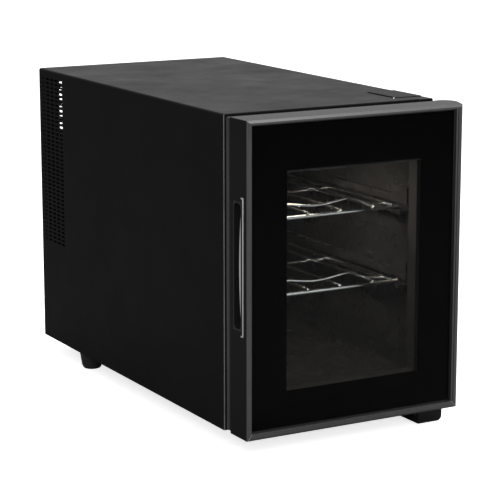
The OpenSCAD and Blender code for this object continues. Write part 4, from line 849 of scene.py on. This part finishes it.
class WINECOOLER_OT_studio(bpy.types.Operator):
    """Set the floor, the lights and the camera"""

    bl_idname = "wine_cooler.studio"
    bl_label = "Studio"

    def execute(self, context):
        size = context.scene.wine_studio
        bm = bmesh.new()
        bmesh.ops.create_grid(bm, x_segments=8, y_segments=8, size=14.0)
        mesh = bpy.data.meshes.new("studio_floor")
        bm.to_mesh(mesh)
        bm.free()
        floor = bpy.data.objects.new("studio_floor", mesh)
        context.scene.collection.objects.link(floor)
        mesh.materials.append(studio_floor("seamless_paper", size.floor))

        # White cyclorama: what lights the object falls off towards the left
        world = bpy.data.worlds.new("studio_world")
        world.use_nodes = True
        nodes, links = world.node_tree.nodes, world.node_tree.links
        sky = nodes["Background"]
        place = nodes.new("ShaderNodeTexCoord").outputs["Generated"]
        split = nodes.new("ShaderNodeSeparateXYZ")
        links.new(place, split.inputs[0])
        fall = nodes.new("ShaderNodeMapRange")
        links.new(split.outputs[0], fall.inputs["Value"])
        for key, value in (("From Min", -0.55), ("From Max", 0.35), ("To Min", size.shade), ("To Max", 1.0)):
            fall.inputs[key].default_value = value
        direct = nodes.new("ShaderNodeLightPath").outputs["Is Camera Ray"]
        level = nodes.new("ShaderNodeMath")
        level.operation = "MAXIMUM"
        links.new(direct, level.inputs[0])
        links.new(fall.outputs[0], level.inputs[1])
        links.new(level.outputs[0], sky.inputs["Strength"])
        sky.inputs["Color"].default_value = (1.0, 1.0, 1.0, 1.0)
        context.scene.world = world
        context.scene.view_settings.view_transform = "Standard"

        self.lamp(context, "overhead_softbox", (0.0, 0.3, 2.6), (0.0, 0.1, 0.0), (2.6, 2.6), 52.0)
        self.lamp(context, "edge_softbox", (-1.2, -2.0, 1.0), (0.0, -0.1, 0.2), (0.45, 0.9), 26.0)
        self.lamp(context, "cabin_lamp", (0.0, -0.150, 0.300), (0.0, -0.150, 0.0), (0.05, 0.03), 0.9,
                  (1.0, 0.86, 0.66))

        lens = bpy.data.cameras.new("studio_camera")
        lens.lens = size.lens
        lens.sensor_width = 36.0
        lens.clip_start, lens.clip_end = 0.05, 60.0
        camera = bpy.data.objects.new("studio_camera", lens)
        context.scene.collection.objects.link(camera)
        a, e = size.azimuth, size.elevation
        ahead = Vector((math.sin(a) * math.cos(e), math.cos(a) * math.cos(e), -math.sin(e)))
        camera.location = Vector(size.aim) - ahead * size.distance
        camera.rotation_euler = ahead.to_track_quat("-Z", "Y").to_euler()
        context.scene.camera = camera
        return {"FINISHED"}

    def lamp(self, context, name, place, aim, size, power, colour=(1.0, 1.0, 1.0)):
        """Adds a softbox at a place, turned to its aim."""
        light = bpy.data.lights.new(name, "AREA")
        light.shape, light.size, light.size_y = "RECTANGLE", *size
        light.energy, light.color = power, colour
        made = bpy.data.objects.new(name, light)
        context.scene.collection.objects.link(made)
        made.location = place
        way = Vector(aim) - Vector(place)
        made.rotation_euler = way.to_track_quat("-Z", "Y").to_euler()


class WINECOOLER_PT_pieces(bpy.types.Panel):
    """Pieces of the wine cooler"""

    bl_idname = "WINECOOLER_PT_pieces"
    bl_label = "Wine Cooler"
    bl_space_type = "VIEW_3D"
    bl_region_type = "UI"
    bl_category = "Wine Cooler"

    def draw(self, context):
        for group, operators in PANEL:
            box = self.layout.box()
            settings = getattr(context.scene, group)
            for name in settings.__annotations__:
                box.prop(settings, name)
            for operator in operators:
                box.operator(operator)


PANEL = (
    ("wine_cabinet", ("wine_cooler.cabinet", "wine_cooler.cabin", "wine_cooler.module")),
    ("wine_shelves", ("wine_cooler.shelves",)),
    ("wine_feet", ("wine_cooler.feet", "wine_cooler.fittings")),
    ("wine_door", ("wine_cooler.door",)),
    ("wine_studio", ("wine_cooler.studio",)),
)
SETTINGS = {
    "wine_cabinet": CabinetSettings,
    "wine_door": DoorSettings,
    "wine_shelves": ShelfSettings,
    "wine_feet": FootSettings,
    "wine_studio": StudioSettings,
}
CLASSES = (
    WINECOOLER_OT_cabinet, WINECOOLER_OT_cabin, WINECOOLER_OT_module, WINECOOLER_OT_shelves,
    WINECOOLER_OT_feet, WINECOOLER_OT_fittings, WINECOOLER_OT_door, WINECOOLER_OT_studio,
    WINECOOLER_PT_pieces,
)


def register():
    for group in SETTINGS.values():
        bpy.utils.register_class(group)
    for name, group in SETTINGS.items():
        setattr(bpy.types.Scene, name, PointerProperty(type=group))
    for cls in CLASSES:
        bpy.utils.register_class(cls)


def unregister():
    for cls in reversed(CLASSES):
        bpy.utils.unregister_class(cls)
    for name in SETTINGS:
        delattr(bpy.types.Scene, name)
    for group in reversed(SETTINGS.values()):
        bpy.utils.unregister_class(group)


def main():
    register()
    for _, operators in PANEL:
        for operator in operators:
            area, name = operator.split(".")
            getattr(getattr(bpy.ops, area), name)()


if __name__ == "__main__":
    main()
